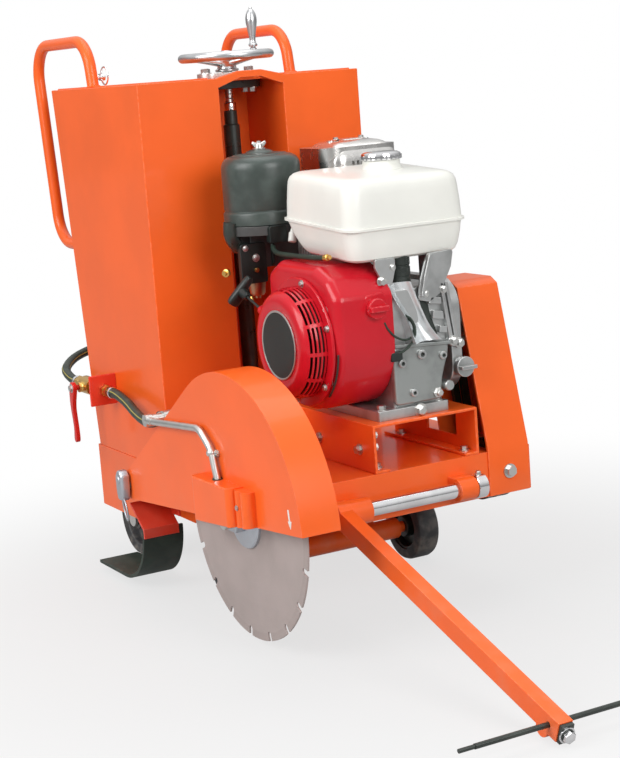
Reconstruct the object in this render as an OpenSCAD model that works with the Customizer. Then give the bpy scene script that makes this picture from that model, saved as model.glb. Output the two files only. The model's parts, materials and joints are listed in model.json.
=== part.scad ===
// Walk-behind concrete saw: console, chassis, engine, belt drive, blade, guard, depth screw and pointer.
// X runs forward, Y to the machine's left, Z up. Lengths are millimetres, and the floor is at Z = 0.
// Places are worked out from the console's front face, then moved so that the origin is at the base centre.

/* [Console] */
// Width of the console
console_w = 444; // [436:2:460]
// Distance of the console to the right of the middle of the chassis
console_off = 10; // [0:1:10]
// Depth of the console at its top
console_top_d = 413; // [390:1:440]
// Depth of the console at its foot
console_foot_d = 332; // [315:1:336]
// Height of the console top above the floor
console_top_z = 900; // [870:5:950]
// Sheet thickness of the console
console_wall = 3; // [2:0.5:4]
// Width of the recess for the depth screw
recess_w = 130; // [124:2:160]
// Depth of the recess for the depth screw
recess_d = 150; // [140:1:170]
// Depth of the notch behind the lip over the recess
lip_back = 28; // [20:1:34]
// Drop of the lip at its ends
lip_drop = 16; // [12:1:24]
// Rise of the lip at its middle
lip_up = 11; // [8:1:16]

/* [Chassis] */
// Height of the deck above the floor
deck_z = 255; // [250:1:265]
// Reach of the front beam ahead of the console
deck_len = 450; // [446:1:460]
// Height of the front beam
beam_h = 76; // [70:1:84]
// Sheet thickness of the chassis
plate_t = 6; // [5:0.5:7]
// How far the chassis reaches out from under the console, on both sides together, halved
chassis_proud = 11; // [11:0.5:14]
// Reach of the chassis behind the console's front face
rear_len = 340; // [336:1:355]
// Height of the console's seat above the floor
seat_z = 213; // [208:1:220]
// Height of the chassis sides above the floor at the rear
rear_low_z = 92; // [86:1:105]
// Height of the chassis sides above the floor below the guard's hinge
mid_low_z = 135; // [128:1:140]

/* [Handles] */
// Diameter of the handle tube
handle_d = 22; // [20:1:26]
// Bend radius of the handle tube
handle_bend = 62; // [50:1:66]
// Height of the handles above the console
handle_up = 86; // [80:1:100]
// Reach of the handles behind the console's front face
handle_reach = 520; // [510:5:550]
// Height at which the handles meet the console's back
handle_low_z = 602; // [580:1:640]
// Distance of the handles from the console's side
handle_in = 15; // [15:1:30]

/* [Depth screw] */
// Distance of the screw behind the console's front face
screw_back = 92; // [88:1:96]
// Diameter of the screw
screw_d = 18; // [16:1:20]
// Outer diameter of the handwheel
handwheel_d = 176; // [166:2:190]
// Thickness of the handwheel's rim
handwheel_rim = 17; // [14:1:20]
// Height of the handwheel's rim above the console
handwheel_up = 39; // [36:1:50]
// Diameter of the hand knob
knob_d = 26; // [22:1:32]
// Length of the hand knob
knob_h = 69; // [55:1:80]
// Diameter of the nut tube
nut_tube_d = 30; // [28:1:34]
// Height of the nut's top at rest
nut_top_z = 857; // [840:1:862]

/* [Rocker and wheels] */
// Place of the rocker's pivot ahead of the console
rocker_x = 20; // [18:1:22]
// Height of the rocker's pivot
rocker_z = 150; // [148:1:153]
// Diameter of the rocker's shaft
rocker_shaft_d = 25; // [22:1:28]
// Place of the front axle ahead of the console
front_axle_x = 134; // [130:1:140]
// Diameter of the front wheels
front_wheel_d = 124; // [118:2:130]
// Diameter of the rear wheels
rear_wheel_d = 150; // [140:2:160]
// Place of the rear axle behind the console's front face
rear_axle_back = 250; // [240:1:255]
// Width of the wheels
wheel_w = 44; // [38:1:48]
// Distance of the wheels from the mid-plane
wheel_y = 184; // [181:1:187]
// Diameter of the wheel axles
axle_d = 20; // [16:1:22]

/* [Blade] */
// Diameter of the blade
blade_d = 400; // [380:5:410]
// Thickness of the blade
blade_t = 3.2; // [2.6:0.2:4]
// Distance of the blade axis behind the front beam's face
blade_back = 62; // [60:1:64]
// Clearance of the blade above the floor
blade_clear = 12; // [8:1:20]
// Number of slots in the blade
blade_slots = 18; // [12:1:24]
// Depth of the blade's slots
slot_depth = 10; // [8:1:20]
// Width of the blade's slots
slot_w = 10; // [6:0.5:12]
// Diameter of the clamping flanges
flange_d = 100; // [90:1:108]
// Diameter of the blade's bore
blade_bore = 25.4; // [20:0.1:25.4]
// Diameter of the blade shaft
shaft_d = 30; // [28:1:32]

/* [Blade guard] */
// Radius of the guard
guard_r = 237; // [228:1:245]
// Width of the guard
guard_w = 66; // [62:1:72]
// Sheet thickness of the guard
guard_t = 3; // [2:0.5:3.5]
// Gap between the guard and the chassis side
guard_gap = 5; // [4:0.5:8]
// Place of the guard's hinge behind the console's front face
hinge_back = 27; // [22:1:32]
// Height of the guard's hinge
hinge_z = 197; // [194:1:200]
// Diameter of the guard's hinge pin
hinge_pin_d = 20; // [16:1:22]
// Radius of the guard's hinge boss
hinge_boss_r = 22; // [18:1:24]
// Depth of the guard's bulge over the shaft end
bulge_d = 28; // [26:1:36]
// Distance of the blade from the guard's outer face
blade_inset = 28; // [26:1:32]

/* [Engine] */
// Height of the engine platform
platform_h = 80; // [78:1:90]
// Width of the engine platform
platform_w = 202; // [194:1:202]
// Height of the crankshaft above the engine's base
crank_h = 132; // [130:1:136]
// Place of the crankshaft ahead of the console
crank_x = 326; // [324:1:329]
// Radius of the recoil cover
recoil_r = 92; // [84:1:96]
// Depth of the recoil cover
recoil_w = 46; // [40:1:52]
// Radius of the fan shroud
shroud_r = 115; // [106:1:117]
// Length of the fuel tank across the machine
tank_w = 235; // [220:1:240]
// Length of the fuel tank along the machine
tank_l = 230; // [215:1:236]
// Height of the fuel tank
tank_h = 133; // [120:1:140]
// Radius of the air cleaner
air_r = 70; // [62:1:71]
// Height of the air cleaner
air_h = 124; // [110:1:130]
// Inner radius of the exhaust outlet
exhaust_r = 13; // [10:0.5:16]

/* [Belt drive] */
// Diameter of the drive pulley
drive_pulley_d = 80; // [72:1:84]
// Diameter of the driven pulley
driven_pulley_d = 105; // [90:1:106]
// Width of a belt
belt_w = 13; // [10:0.5:13]
// Thickness of a belt
belt_t = 8; // [6:0.5:9]
// Diameter of the crankshaft
crank_d = 28; // [25:0.4:30]
// Width of the belt guard
belt_guard_w = 82; // [78:1:84]

/* [Pointer] */
// Diameter of the pointer's pivot rod
pointer_pivot_d = 25; // [20:1:28]
// Length of the pointer arm
arm_len = 575; // [500:5:600]
// Slope of the pointer arm below the horizontal
arm_slope = 18.3; // [16:0.1:18.5]
// Width of the pointer arm
arm_w = 24; // [20:1:30]
// Height of the pointer arm
arm_h = 30; // [26:1:32]
// Diameter of the pointer rod
pointer_rod_d = 8; // [6:0.5:10]
// Length of the pointer rod
pointer_rod_len = 330; // [260:5:360]
// Length of the rod's turned-down ends
spigot_l = 25; // [15:1:35]

/* [Water] */
// Diameter of the hoses
hose_d = 18; // [14:1:20]
// Diameter of the water pipe on the guard
pipe_d = 8; // [6:0.5:10]
// Length of the valve lever
lever_len = 100; // [70:1:104]
// Thickness of the splash flap
flap_t = 6; // [4:0.5:8]

/* [Fits] */
// Radial clearance of shafts in their bores
run_fit = 0.05; // [0.02:0.01:0.08]
// Gap between pieces that pass each other
pass_gap = 0.5; // [0.3:0.1:1]

/* [Hidden] */
$fn = 48;

// Paints and metals
orange = "orangered";
red = "crimson";
steel = "silver";
alloy = "lightgray";
black = "dimgray";

// Chassis and console planes
half_w = console_w / 2;
console_y = -console_off;
side_y = half_w + chassis_proud;
beam_low = deck_z - beam_h;
deck_under = deck_z - plate_t;
rear_slope = (console_top_d - console_foot_d) / (console_top_z - seat_z);

// Blade and guard planes
blade_x = deck_len - blade_back;
blade_z = blade_d / 2 + blade_clear;
guard_in_y = -side_y - guard_gap;
guard_out_y = guard_in_y - guard_w;
blade_y = guard_out_y + blade_inset;
bulge_y = guard_out_y - bulge_d;

// Rear end of the deck's opening for the belts
belt_slot_x = blade_x - 70;

// Engine planes
base_z = deck_z + platform_h;
crank_z = base_z + crank_h;
platform_y = -70;
recoil_face_y = -164;
shroud_face_y = recoil_face_y + recoil_w;
shroud_back_y = -12;
case_end_y = 105;
cover_end_y = 135;
case_front_x = crank_x + 104;
base_front_x = crank_x + 108;
tank_z = base_z + 272;
tank_y = -85;
filler_d = 38;
tank_x = crank_x + 112 - tank_l;
head_top_z = base_z + 277;
oil_y = case_end_y + 16;
oil_z = base_z + 68;

// Belt drive planes
belt_guard_y = side_y - 4 - belt_guard_w;
belt_y = [belt_guard_y + 33, belt_guard_y + 52];
pulley_y = belt_guard_y + 20;
pulley_w = 44;

// Pointer
arm_pivot_x = deck_len + 23;
arm_pivot_z = beam_low + 29;
arm_y = -165;
rod_mid_y = arm_y + arm_w / 2 + 10;

// Depth screw, nut tube and rocker
neck_d = screw_d + 2;
lever_rise = 12;
lever_per_degree = 2.1;
nut_pin_z = rocker_z + lever_rise * lever_per_degree;
nut_pin_d = 14;
wheel_rim_z = console_top_z + handwheel_up;
rim_r = (handwheel_d - handwheel_rim) / 2;
knob_angle = 113;
bearing_top_z = console_top_z + 10;

// Foot of the handles on the console's top
handle_foot_x = -234;
handle_lean = 14;

// Reach of the handle's spring pin from the tube's axis
pin_reach = handle_d / 2 + 14;

// Shift of every piece that brings the origin to the base centre
front_reach = arm_pivot_x + (arm_len + 35) * cos(arm_slope) + 5.5 * sin(arm_slope);
rear_reach = handle_reach + handle_d / 2 - 8.1792;
x_mid = (front_reach - rear_reach) / 2;
y_mid = (side_y + bulge_y) / 2;

// Height of the water valve
valve_z = 338;

// Routes of the hoses, from the valve's side to the far end
supply_route = [[-350, -256, 338], [-390, -256, 341], [-438, -248, 352], [-474, -215, 366],
    [-482, -172, 378], [-462, -132, 388], [-420, -112, 394], [-374, -110, 395]];
guard_route = [[-194, -256, 338], [-160, -256, 337], [-110, -258, 328], [-60, -262, 315],
    [-10, -266, 309], [35, -269, 315], [66, -271, 331]];

// Unit vector along v
function unit(v) = v / norm(v);

// Point on a smooth curve between b and c, with neighbours a and d
function curve_at(a, b, c, d, t) = 0.5 * (2 * b + (c - a) * t + (2 * a - 5 * b + 4 * c - d) * t * t
    + (3 * b - a - 3 * c + d) * t * t * t);

// Points of a smooth curve through the points p, with n steps for each stretch
function smooth(p, n) = concat([for (i = [0:len(p) - 2], k = [0:n - 1])
    curve_at(p[max(i - 1, 0)], p[i], p[i + 1], p[min(i + 2, len(p) - 1)], k / n)], [p[len(p) - 1]]);

// Points of the bend of radius r at b, on the way from a to c
function bend(a, b, c, r, n) = let (u = unit(b - a), v = unit(c - b), turn = acos(u * v),
    side = unit(v - u * (u * v)), o = b - u * r * tan(turn / 2) + side * r)
    [for (k = [0:n]) o - side * r * cos(turn * k / n) + u * r * sin(turn * k / n)];

// Points of a way through p with its corners bent to radius r, in n steps each
function bent(p, r, n) = [p[0], for (i = [1:len(p) - 2]) each bend(p[i - 1], p[i], p[i + 1], r, n),
    p[len(p) - 1]];

// Angle of the line that touches the upper sides of two circles, r1 at the start and r2 at the end
function touch_angle(dx, dz, r1, r2) = atan2(dz, dx) + 90 + asin((r2 - r1) / norm([dx, dz]));

module shift() {
    translate([-x_mid, -y_mid, 0]) children();
}

// Plate with an outline in X and Z, from y to y + t
module y_plate(outline, y, t) {
    translate([0, y + t, 0]) rotate([90, 0, 0]) linear_extrude(t) polygon(outline);
}

// Same, for a drawn outline
module y_solid(y, t) {
    translate([0, y + t, 0]) rotate([90, 0, 0]) linear_extrude(t) children();
}

// Round bar along Y
module y_bar(x, z, d, y1, y2) {
    translate([x, y2, z]) rotate([90, 0, 0]) cylinder(d = d, h = y2 - y1);
}

// Round bar between two points
module bar(a, b, d) {
    v = b - a;
    translate(a) rotate([0, acos(v[2] / norm(v)), atan2(v[1], v[0])]) cylinder(d = d, h = norm(v));
}

// Rectangle with round corners
module round_rect(w, h, r) {
    translate([r, 0]) square([w - 2 * r, h]);
    translate([0, r]) square([w, h - 2 * r]);
    for (x = [r, w - r], y = [r, h - r]) {
        translate([x, y]) circle(r);
    }
}

// Bar with round ends in X and Z, from a to b
module link(a, b, w) {
    v = b - a;
    translate(a) circle(d = w);
    translate(b) circle(d = w);
    side = w / 2 - 0.3;
    translate(a) rotate(atan2(v[1], v[0])) translate([0, -side]) square([norm(v), 2 * side]);
}

// Hexagon head with its washer, standing on z = 0
module hex_head(size, h) {
    cylinder(d = size * 1.35, h = h * 0.25);
    translate([0, 0, h * 0.25]) cylinder(d = size, h = h * 0.75, $fn = 6);
}

// Tube along the points p, with its ends square to the given directions and its seam turned to the normal
module tube(p, d, first, last, normal, sides) {
    n = len(p);
    along = [for (i = [0:n - 1]) i == 0 ? unit(first) : i == n - 1 ? unit(last) : unit(p[i + 1] - p[i - 1])];
    ring = [for (i = [0:n - 1])
        let (a = unit(cross(along[i], normal)), b = cross(along[i], a))
        [for (k = [0:sides - 1]) p[i] + (a * cos(360 * k / sides) + b * sin(360 * k / sides)) * d / 2]];
    points = [for (i = [0:n - 1], k = [0:sides - 1]) ring[i][k]];
    walls = [for (i = [0:n - 2], k = [0:sides - 1])
        let (a = i * sides + k, b = i * sides + (k + 1) % sides)
        [a, a + sides, b + sides, b]];
    split = [for (w = walls, t = [0, 1]) t == 0 ? [w[0], w[1], w[2]] : [w[0], w[2], w[3]]];
    start = [for (k = [1:sides - 2]) [0, k, k + 1]];
    end = [for (k = [1:sides - 2]) [(n - 1) * sides, (n - 1) * sides + k + 1, (n - 1) * sides + k]];
    polyhedron(points, concat(split, start, end), convexity = 4);
}

// Console's outer block, drawn in by the given wall
module console_block(wall) {
    low = seat_z + wall;
    top = console_top_z - wall;
    back = wall * norm([1, rear_slope]);
    y_plate([[-wall, low], [-wall, top], [-console_foot_d - rear_slope * (top - seat_z) + back, top],
        [-console_foot_d - rear_slope * (low - seat_z) + back, low]], console_y + wall - half_w, console_w - 2 * wall);
}

module chassis_frame() {
    lug_y = 120;
    axle_lug_y = 140;
    side = [[-rear_len, rear_low_z], [-150, rear_low_z], [-20, mid_low_z], [90, mid_low_z],
        [140, beam_low], [deck_len, beam_low], [deck_len, deck_z], [0, deck_z], [0, seat_z],
        [-rear_len, seat_z]];
    color(orange) shift() difference() {
        union() {
            translate([0, -side_y, deck_under]) cube([deck_len, 2 * side_y, plate_t]);
            translate([deck_len - plate_t, -side_y, beam_low]) cube([plate_t, 2 * side_y, beam_h]);
            translate([-rear_len, -side_y, rear_low_z]) cube([plate_t, 2 * side_y, seat_z - rear_low_z]);
            translate([-rear_len, -side_y, seat_z - plate_t]) cube([rear_len, 2 * side_y, plate_t]);
            for (y = [-side_y, side_y - plate_t]) {
                y_plate(side, y, plate_t);
            }
            for (y = [-lug_y - plate_t, lug_y]) {
                y_solid(y, plate_t) {
                    translate([rocker_x - 18, rocker_z]) square([36, deck_under - rocker_z + 1]);
                    translate([rocker_x, rocker_z]) circle(20);
                }
            }
            for (y = [-axle_lug_y - plate_t, axle_lug_y]) {
                y_solid(y, plate_t) {
                    translate([-rear_axle_back - 22, rear_wheel_d / 2])
                        square([44, seat_z - plate_t / 2 - rear_wheel_d / 2]);
                    translate([-rear_axle_back, rear_wheel_d / 2]) circle(22);
                }
            }
            for (y = [[arm_y - 27, arm_y - 3], [66, 100]]) {
                y_bar(arm_pivot_x, arm_pivot_z, pointer_pivot_d + 13, y[0], y[1]);
                translate([deck_len - 1, y[0], arm_pivot_z - 12]) cube([19, y[1] - y[0], 31]);
            }
        }
        // Bores for the rocker's shaft, the rear axle, the pointer's rod and the blade shaft
        y_bar(rocker_x, rocker_z, rocker_shaft_d + 2 * run_fit, -lug_y - 20, lug_y + 20);
        y_bar(-rear_axle_back, rear_wheel_d / 2, axle_d + 2 * run_fit, -axle_lug_y - 20, axle_lug_y + 20);
        y_bar(arm_pivot_x, arm_pivot_z, pointer_pivot_d + 2 * run_fit, arm_y - 40, 110);
        y_bar(blade_x, blade_z, shaft_d + 20, -side_y - 1, -side_y + plate_t + 1);
        // Openings for the nut tube, the belts and the guard's hinge pin
        translate([-screw_back - 44, console_y - 45, seat_z - plate_t - 1]) cube([126, 90, plate_t + 2]);
        translate([belt_slot_x, pulley_y - 3, deck_under - 1])
            cube([deck_len - plate_t - 1 - belt_slot_x, pulley_w + 6, plate_t + 2]);
        y_bar(-hinge_back, hinge_z, hinge_pin_d + 2 * run_fit, -side_y - 1, -side_y + plate_t + 1);
    }
}

module engine_platform() {
    sheet = 5;
    back_x = 190;
    length = deck_len - back_x;
    color(orange) shift() difference() {
        union() {
            translate([back_x, platform_y, base_z - sheet]) cube([length, platform_w, sheet]);
            for (y = [platform_y, platform_y + platform_w - sheet]) {
                translate([back_x, y, deck_z]) cube([length, sheet, platform_h]);
            }
            for (y = [platform_y, platform_y + platform_w - 28]) {
                translate([back_x, y, deck_z]) cube([length, 28, sheet]);
            }
        }
        // Cut in the left side that the belt run shows through
        translate([300, platform_y + platform_w - sheet - 1, deck_z + 24]) cube([90, sheet + 2, 36]);
    }
}

module frame_bolts() {
    color(steel) shift() {
        for (x = [270, 404]) {
            translate([x, platform_y, deck_z + 35]) rotate([90, 0, 0]) hex_head(14, 9);
        }
        for (z = [deck_z + 42, deck_z + 62]) {
            translate([deck_len - 14, platform_y + 5, z]) rotate([-90, 0, 0]) hex_head(13, 8);
        }
        for (x = [230, deck_len - 22], y = [platform_y + 16, platform_y + platform_w - 16]) {
            translate([x, y, deck_z + 5]) hex_head(13, 8);
        }
        translate([deck_len + 3, belt_guard_y + belt_guard_w / 2, deck_z - 38]) rotate([0, 90, 0])
            hex_head(18, 10);
    }
}

module console() {
    top = console_top_z;
    bridge = 6;
    half = recess_w / 2;
    flat = 20;
    color(orange) shift() {
        difference() {
            console_block(0);
            difference() {
                console_block(console_wall);
                translate([-recess_d - console_wall, console_y - half - console_wall, seat_z])
                    cube([recess_d + console_wall, recess_w + 2 * console_wall, top]);
            }
            // Recess, the notch in its top edge and the hole for the screw
            translate([-recess_d, console_y - half, seat_z - 1])
                cube([recess_d + 1, recess_w, top - bridge - seat_z + 1]);
            translate([0, console_y, top - bridge - 1]) linear_extrude(bridge + 2)
                polygon([[1, -half + 3], [-lip_back, -flat], [-lip_back, flat], [1, half - 3]]);
            translate([-screw_back, console_y, top - bridge - 1]) cylinder(d = neck_d + 8, h = bridge + 2);
        }
        // Arched lip over the recess
        translate([-12, console_y, top]) rotate([90, 0, 90]) linear_extrude(12)
            polygon([[-half - 2, -lip_drop], [-half + 2, -lip_drop], [-flat, lip_up - 12], [flat, lip_up - 12],
            [half - 2, -lip_drop], [half + 2, -lip_drop], [half + 2, 0], [half - 5, 2], [flat + 2, lip_up],
            [-flat - 2, lip_up], [-half + 5, 2], [-half - 2, 0]]);
    }
}

module screw_bearing() {
    flange_l = 116;
    flange_b = 46;
    bolt_y = 44;
    color(steel) shift() translate([-screw_back, console_y, console_top_z]) {
        difference() {
            translate([-flange_b / 2, -flange_l / 2, 0]) linear_extrude(bearing_top_z - console_top_z)
                round_rect(flange_b, flange_l, 20);
            translate([0, 0, -1]) cylinder(d = neck_d + 2 * run_fit, h = 20);
        }
        for (y = [-bolt_y, bolt_y]) {
            translate([0, y, bearing_top_z - console_top_z]) hex_head(13, 8);
        }
    }
}

// Handle tube on the side s, seated on the console's top and back
module handle(s) {
    y = console_y + s * (half_w - handle_in);
    top = console_top_z + handle_up;
    back_x = -console_foot_d - rear_slope * (handle_low_z - seat_z);
    way = bent([[handle_foot_x, y, console_top_z], [handle_foot_x - handle_lean, y, top],
        [-handle_reach, y, top], [-handle_reach + 46, y, handle_low_z], [back_x, y, handle_low_z]],
        handle_bend, 8);
    color(orange) shift() tube(way, handle_d, [0, 0, 1], [1, 0, rear_slope], [0, 1, 0], 20);
}

module handle_right() {
    handle(-1);
}

module handle_left() {
    handle(1);
}

module handle_pin() {
    rise = 18;
    ring_r = 16;
    y = console_y - half_w + handle_in;
    pin_x = handle_foot_x - handle_lean * rise / handle_up;
    pin_z = console_top_z + rise;
    head_y = y + pin_reach - 5;
    color(steel) shift() difference() {
        union() {
            y_bar(pin_x, pin_z, 8, y, y + pin_reach);
            y_bar(pin_x, pin_z, 13, head_y - 5, head_y + 5);
            translate([pin_x + ring_r - 3, head_y, pin_z + 2]) rotate([90, 0, 0]) rotate_extrude()
                translate([ring_r, 0]) circle(1.5);
        }
        bar([handle_foot_x, y, console_top_z], [handle_foot_x - handle_lean, y, console_top_z + handle_up],
            handle_d);
    }
}

module belt_guard() {
    sheet = 3;
    front = deck_len;
    outer = [[front, beam_low], [front + sheet, beam_low], [front + sheet, deck_z + 6],
        [crank_x + 62, crank_z + 60], [crank_x + 44, crank_z + 70], [crank_x - 34, crank_z + 70],
        [crank_x - 58, crank_z + 50],
        [crank_x - 58, crank_z - 20], [belt_slot_x - 10, deck_z], [front, deck_z]];
    inner = [[front - sheet, deck_z - 1], [front - sheet, deck_z + 6], [crank_x + 59, crank_z + 58],
        [crank_x + 42, crank_z + 67], [crank_x - 33, crank_z + 67], [crank_x - 55, crank_z + 48],
        [crank_x - 55, crank_z - 20], [belt_slot_x - 7, deck_z - 1]];
    color(orange) shift() difference() {
        y_plate(outer, belt_guard_y, belt_guard_w);
        y_plate(inner, belt_guard_y - 1, belt_guard_w - sheet + 1);
    }
}

// Outline of a loop round the two pulleys, at the given radii
module belt_loop(r_drive, r_driven) {
    dx = blade_x - crank_x;
    dz = blade_z - crank_z;
    upper = touch_angle(dx, dz, r_drive, r_driven);
    lower = 2 * atan2(dz, dx) - upper;
    a = [crank_x, crank_z];
    b = [blade_x, blade_z];
    translate(a) circle(r_drive);
    translate(b) circle(r_driven);
    polygon([a + r_drive * [cos(upper), sin(upper)], b + r_driven * [cos(upper), sin(upper)],
        b + r_driven * [cos(lower), sin(lower)], a + r_drive * [cos(lower), sin(lower)]]);
}

module v_belts() {
    sunk = belt_t + 0.2;
    color(black) shift() for (y = belt_y) {
        y_solid(y - belt_w / 2, belt_w) difference() {
            belt_loop(drive_pulley_d / 2 - 0.2, driven_pulley_d / 2 - 0.2);
            belt_loop(drive_pulley_d / 2 - sunk, driven_pulley_d / 2 - sunk);
        }
    }
}

module blade_bearings() {
    block_w = 34;
    block_r = 33;
    color(black) shift() for (y = [-197, 90]) {
        difference() {
            y_solid(y, block_w) {
                translate([blade_x, blade_z]) circle(block_r);
                translate([blade_x - block_r, blade_z]) square([2 * block_r, deck_under - blade_z]);
                translate([blade_x - 50, deck_under - 12]) square([100, 12]);
            }
            y_bar(blade_x, blade_z, shaft_d + 2 * run_fit, y - 1, y + block_w + 1);
        }
    }
}

module pivot_rod() {
    color(steel) shift() {
        y_bar(arm_pivot_x, arm_pivot_z, pointer_pivot_d, arm_y - 33, 124);
        y_bar(arm_pivot_x, arm_pivot_z, pointer_pivot_d + 15, 101, 120);
    }
}

module axle_shafts() {
    end_y = wheel_y + wheel_w / 2 + 1;
    color(steel) shift() {
        y_bar(rocker_x, rocker_z, rocker_shaft_d, -132, 132);
        y_bar(-rear_axle_back, rear_wheel_d / 2, axle_d, -end_y, end_y);
        for (y = [-end_y - 6, end_y]) {
            y_bar(-rear_axle_back, rear_wheel_d / 2, axle_d + 12, y, y + 6);
        }
    }
}

module crankcase() {
    rail_h = 17;
    back_x = crank_x - 104;
    bore_y = case_end_y - 60;
    color(alloy) shift() difference() {
        union() {
            translate([base_front_x - 216, -48, base_z]) cube([216, 178, rail_h]);
            y_solid(shroud_back_y, case_end_y - shroud_back_y) {
                translate([back_x, base_z + 8]) round_rect(case_front_x - back_x, 170, 28);
                translate([back_x + 4, base_z + 100]) round_rect(150, 145, 20);
            }
            // Posts under the fuel tank
            for (y = [10, 80]) {
                translate([case_front_x - 52, y, base_z + 160]) cube([26, 14, tank_z - base_z - 160]);
                translate([back_x + 40, y, base_z + 200]) cube([26, 14, tank_z - base_z - 200]);
            }
            // Bosses on the front face
            for (p = [[20, 150], [80, 150], [50, 60], [92, 40]]) {
                translate([case_front_x - 2, p[0], base_z + p[1]]) rotate([0, 90, 0]) cylinder(d = 18, h = 8);
            }
        }
        y_bar(crank_x, crank_z, crank_d + 2 * run_fit, bore_y, case_end_y + 1);
    }
}

module side_cover() {
    color(alloy) shift() difference() {
        union() {
            y_solid(case_end_y, 20) translate([crank_x - 98, base_z + 26]) round_rect(198, 190, 50);
            y_bar(crank_x, crank_z, 76, case_end_y, cover_end_y);
            for (k = [0:7]) {
                y_bar(crank_x + 84 * cos(45 * k + 20), crank_z + 78 * sin(45 * k + 20), 17,
                    case_end_y, case_end_y + 25);
            }
            // Filler neck for the oil
            translate([crank_x + 86, oil_y, oil_z]) rotate([0, 90, 0]) cylinder(d = 30, h = 20);
        }
        y_bar(crank_x, crank_z, crank_d + 2 * run_fit, case_end_y - 1, cover_end_y + 1);
        translate([crank_x + 80, oil_y, oil_z]) rotate([0, 90, 0]) cylinder(d = 18 + 2 * run_fit, h = 30);
    }
}

module cylinder_head() {
    fin_t = 3;
    y = -11;
    w = 123;
    low = base_z + 160;
    barrel_x = crank_x - 100;
    color(alloy) shift() {
        translate([85, y, low]) cube([50, w, head_top_z - low]);
        translate([134, y + 14, low + 14]) cube([barrel_x - 134, w - 28, 68]);
        for (x = [144:9:barrel_x - 6]) {
            translate([x, y, low]) cube([fin_t, w, head_top_z - low - 12]);
        }
    }
}

module fan_shroud() {
    sheet = 3;
    w = shroud_back_y - shroud_face_y;
    color(red) shift() difference() {
        y_solid(shroud_face_y, w) {
            translate([crank_x, crank_z]) circle(shroud_r);
            translate([crank_x - shroud_r, crank_z - 10]) round_rect(2 * shroud_r, 141, 24);
        }
        y_solid(shroud_face_y + sheet, w) {
            translate([crank_x, crank_z]) circle(shroud_r - sheet);
            translate([crank_x - shroud_r + sheet, crank_z - 10]) round_rect(2 * (shroud_r - sheet), 138, 21);
        }
        // Air opening behind the recoil cover
        y_bar(crank_x, crank_z, 2 * recoil_r - 24, shroud_face_y - 1, shroud_face_y + sheet + 1);
        // Side toward the head, open for the cooling air, under the carburettor
        translate([crank_x - shroud_r - 1, shroud_face_y + 40, base_z + 176]) cube([sheet + 2, w, 60]);
    }
}

// Start of the recoil rope and its direction
rope_start = [crank_x - 62, recoil_face_y + 20, crank_z + 38];
rope_way = [-0.94, 0, 0.34];
rope_d = 5;

module recoil_cover() {
    sheet = 3;
    step = 30;
    color(red) shift() difference() {
        union() {
            translate([crank_x, shroud_face_y, crank_z]) rotate([90, 0, 0]) difference() {
                rotate_extrude() polygon([[0, recoil_w - sheet], [recoil_r - 16, recoil_w - sheet],
                    [recoil_r - sheet, recoil_w - 14], [recoil_r - sheet, 0], [recoil_r, 0],
                    [recoil_r, recoil_w - 12], [recoil_r - 14, recoil_w], [0, recoil_w]]);
                // Slots for the cooling air
                for (a = [0:step:330], h = [6:8:22]) {
                    rotate(a + 12) translate([recoil_r - 6, -17, h]) cube([12, 34, 4]);
                }
            }
            // Bush of the rope
            bar(rope_start + rope_way * 13, rope_start + rope_way * 32, 16);
        }
        bar(rope_start, rope_start + rope_way * 50, rope_d + 2 * run_fit);
    }
}

// Seat of the fuel cap
filler = [tank_x + tank_l / 2 - 10, tank_y + tank_w / 2 + 28, tank_z + tank_h];

// Stacked block of the fuel tank, drawn in by the given wall
module tank_block(wall) {
    seam = tank_h * 0.4;
    translate([tank_x, tank_y, tank_z]) {
        translate([8 + wall, 8 + wall, wall]) linear_extrude(seam)
            round_rect(tank_l - 16 - 2 * wall, tank_w - 16 - 2 * wall, 24 - wall);
        translate([4 + wall, 4 + wall, seam + wall]) linear_extrude(tank_h - seam - 14 - 2 * wall)
            round_rect(tank_l - 8 - 2 * wall, tank_w - 8 - 2 * wall, 28 - wall);
        translate([14 + wall, 14 + wall, tank_h - 20]) linear_extrude(20 - wall)
            round_rect(tank_l - 28 - 2 * wall, tank_w - 28 - 2 * wall, 24 - wall);
    }
}

module fuel_tank() {
    sheet = 2;
    color("ivory") shift() difference() {
        union() {
            tank_block(0);
            translate([tank_x, tank_y, tank_z + tank_h * 0.4]) linear_extrude(4)
                round_rect(tank_l, tank_w, 30);
            translate(filler - [0, 0, sheet]) cylinder(d = filler_d + 2 * sheet, h = 8 + sheet);
        }
        tank_block(sheet);
        translate(filler - [0, 0, 2 * sheet]) cylinder(d = filler_d, h = 20);
    }
}

module fuel_cap() {
    plug = filler_d / 2 - run_fit;
    color(steel) shift() translate(filler) rotate_extrude()
        polygon([[0, -6], [plug, -6], [plug, 8.3], [30, 8.3], [30, 18], [26, 22], [0, 22]]);
}

// Place of the air cleaner's axis and base
air_x = 118;
air_y = -65;
air_z = base_z + 313;

module air_cover() {
    sheet = 3;
    top = air_h + 4;
    color(black) shift() translate([air_x, air_y, air_z]) rotate_extrude() polygon([[air_r, 0], [air_r, 18],
        [air_r - 1.5, 20], [air_r - 1.5, air_h - 22], [air_r - 8, air_h - 8], [air_r - 22, air_h], [12, top],
        [0, top], [0, top - sheet], [12, top - sheet], [air_r - 23, air_h - sheet], [air_r - 10, air_h - 10],
        [air_r - 1.5 - sheet, air_h - 23], [air_r - 1.5 - sheet, 0]]);
}

module wing_nut() {
    color(steel) shift() translate([air_x, air_y, air_z + air_h + 4]) {
        cylinder(d = 18, h = 8);
        translate([-2, -14, 4]) cube([4, 28, 10]);
    }
}

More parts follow.
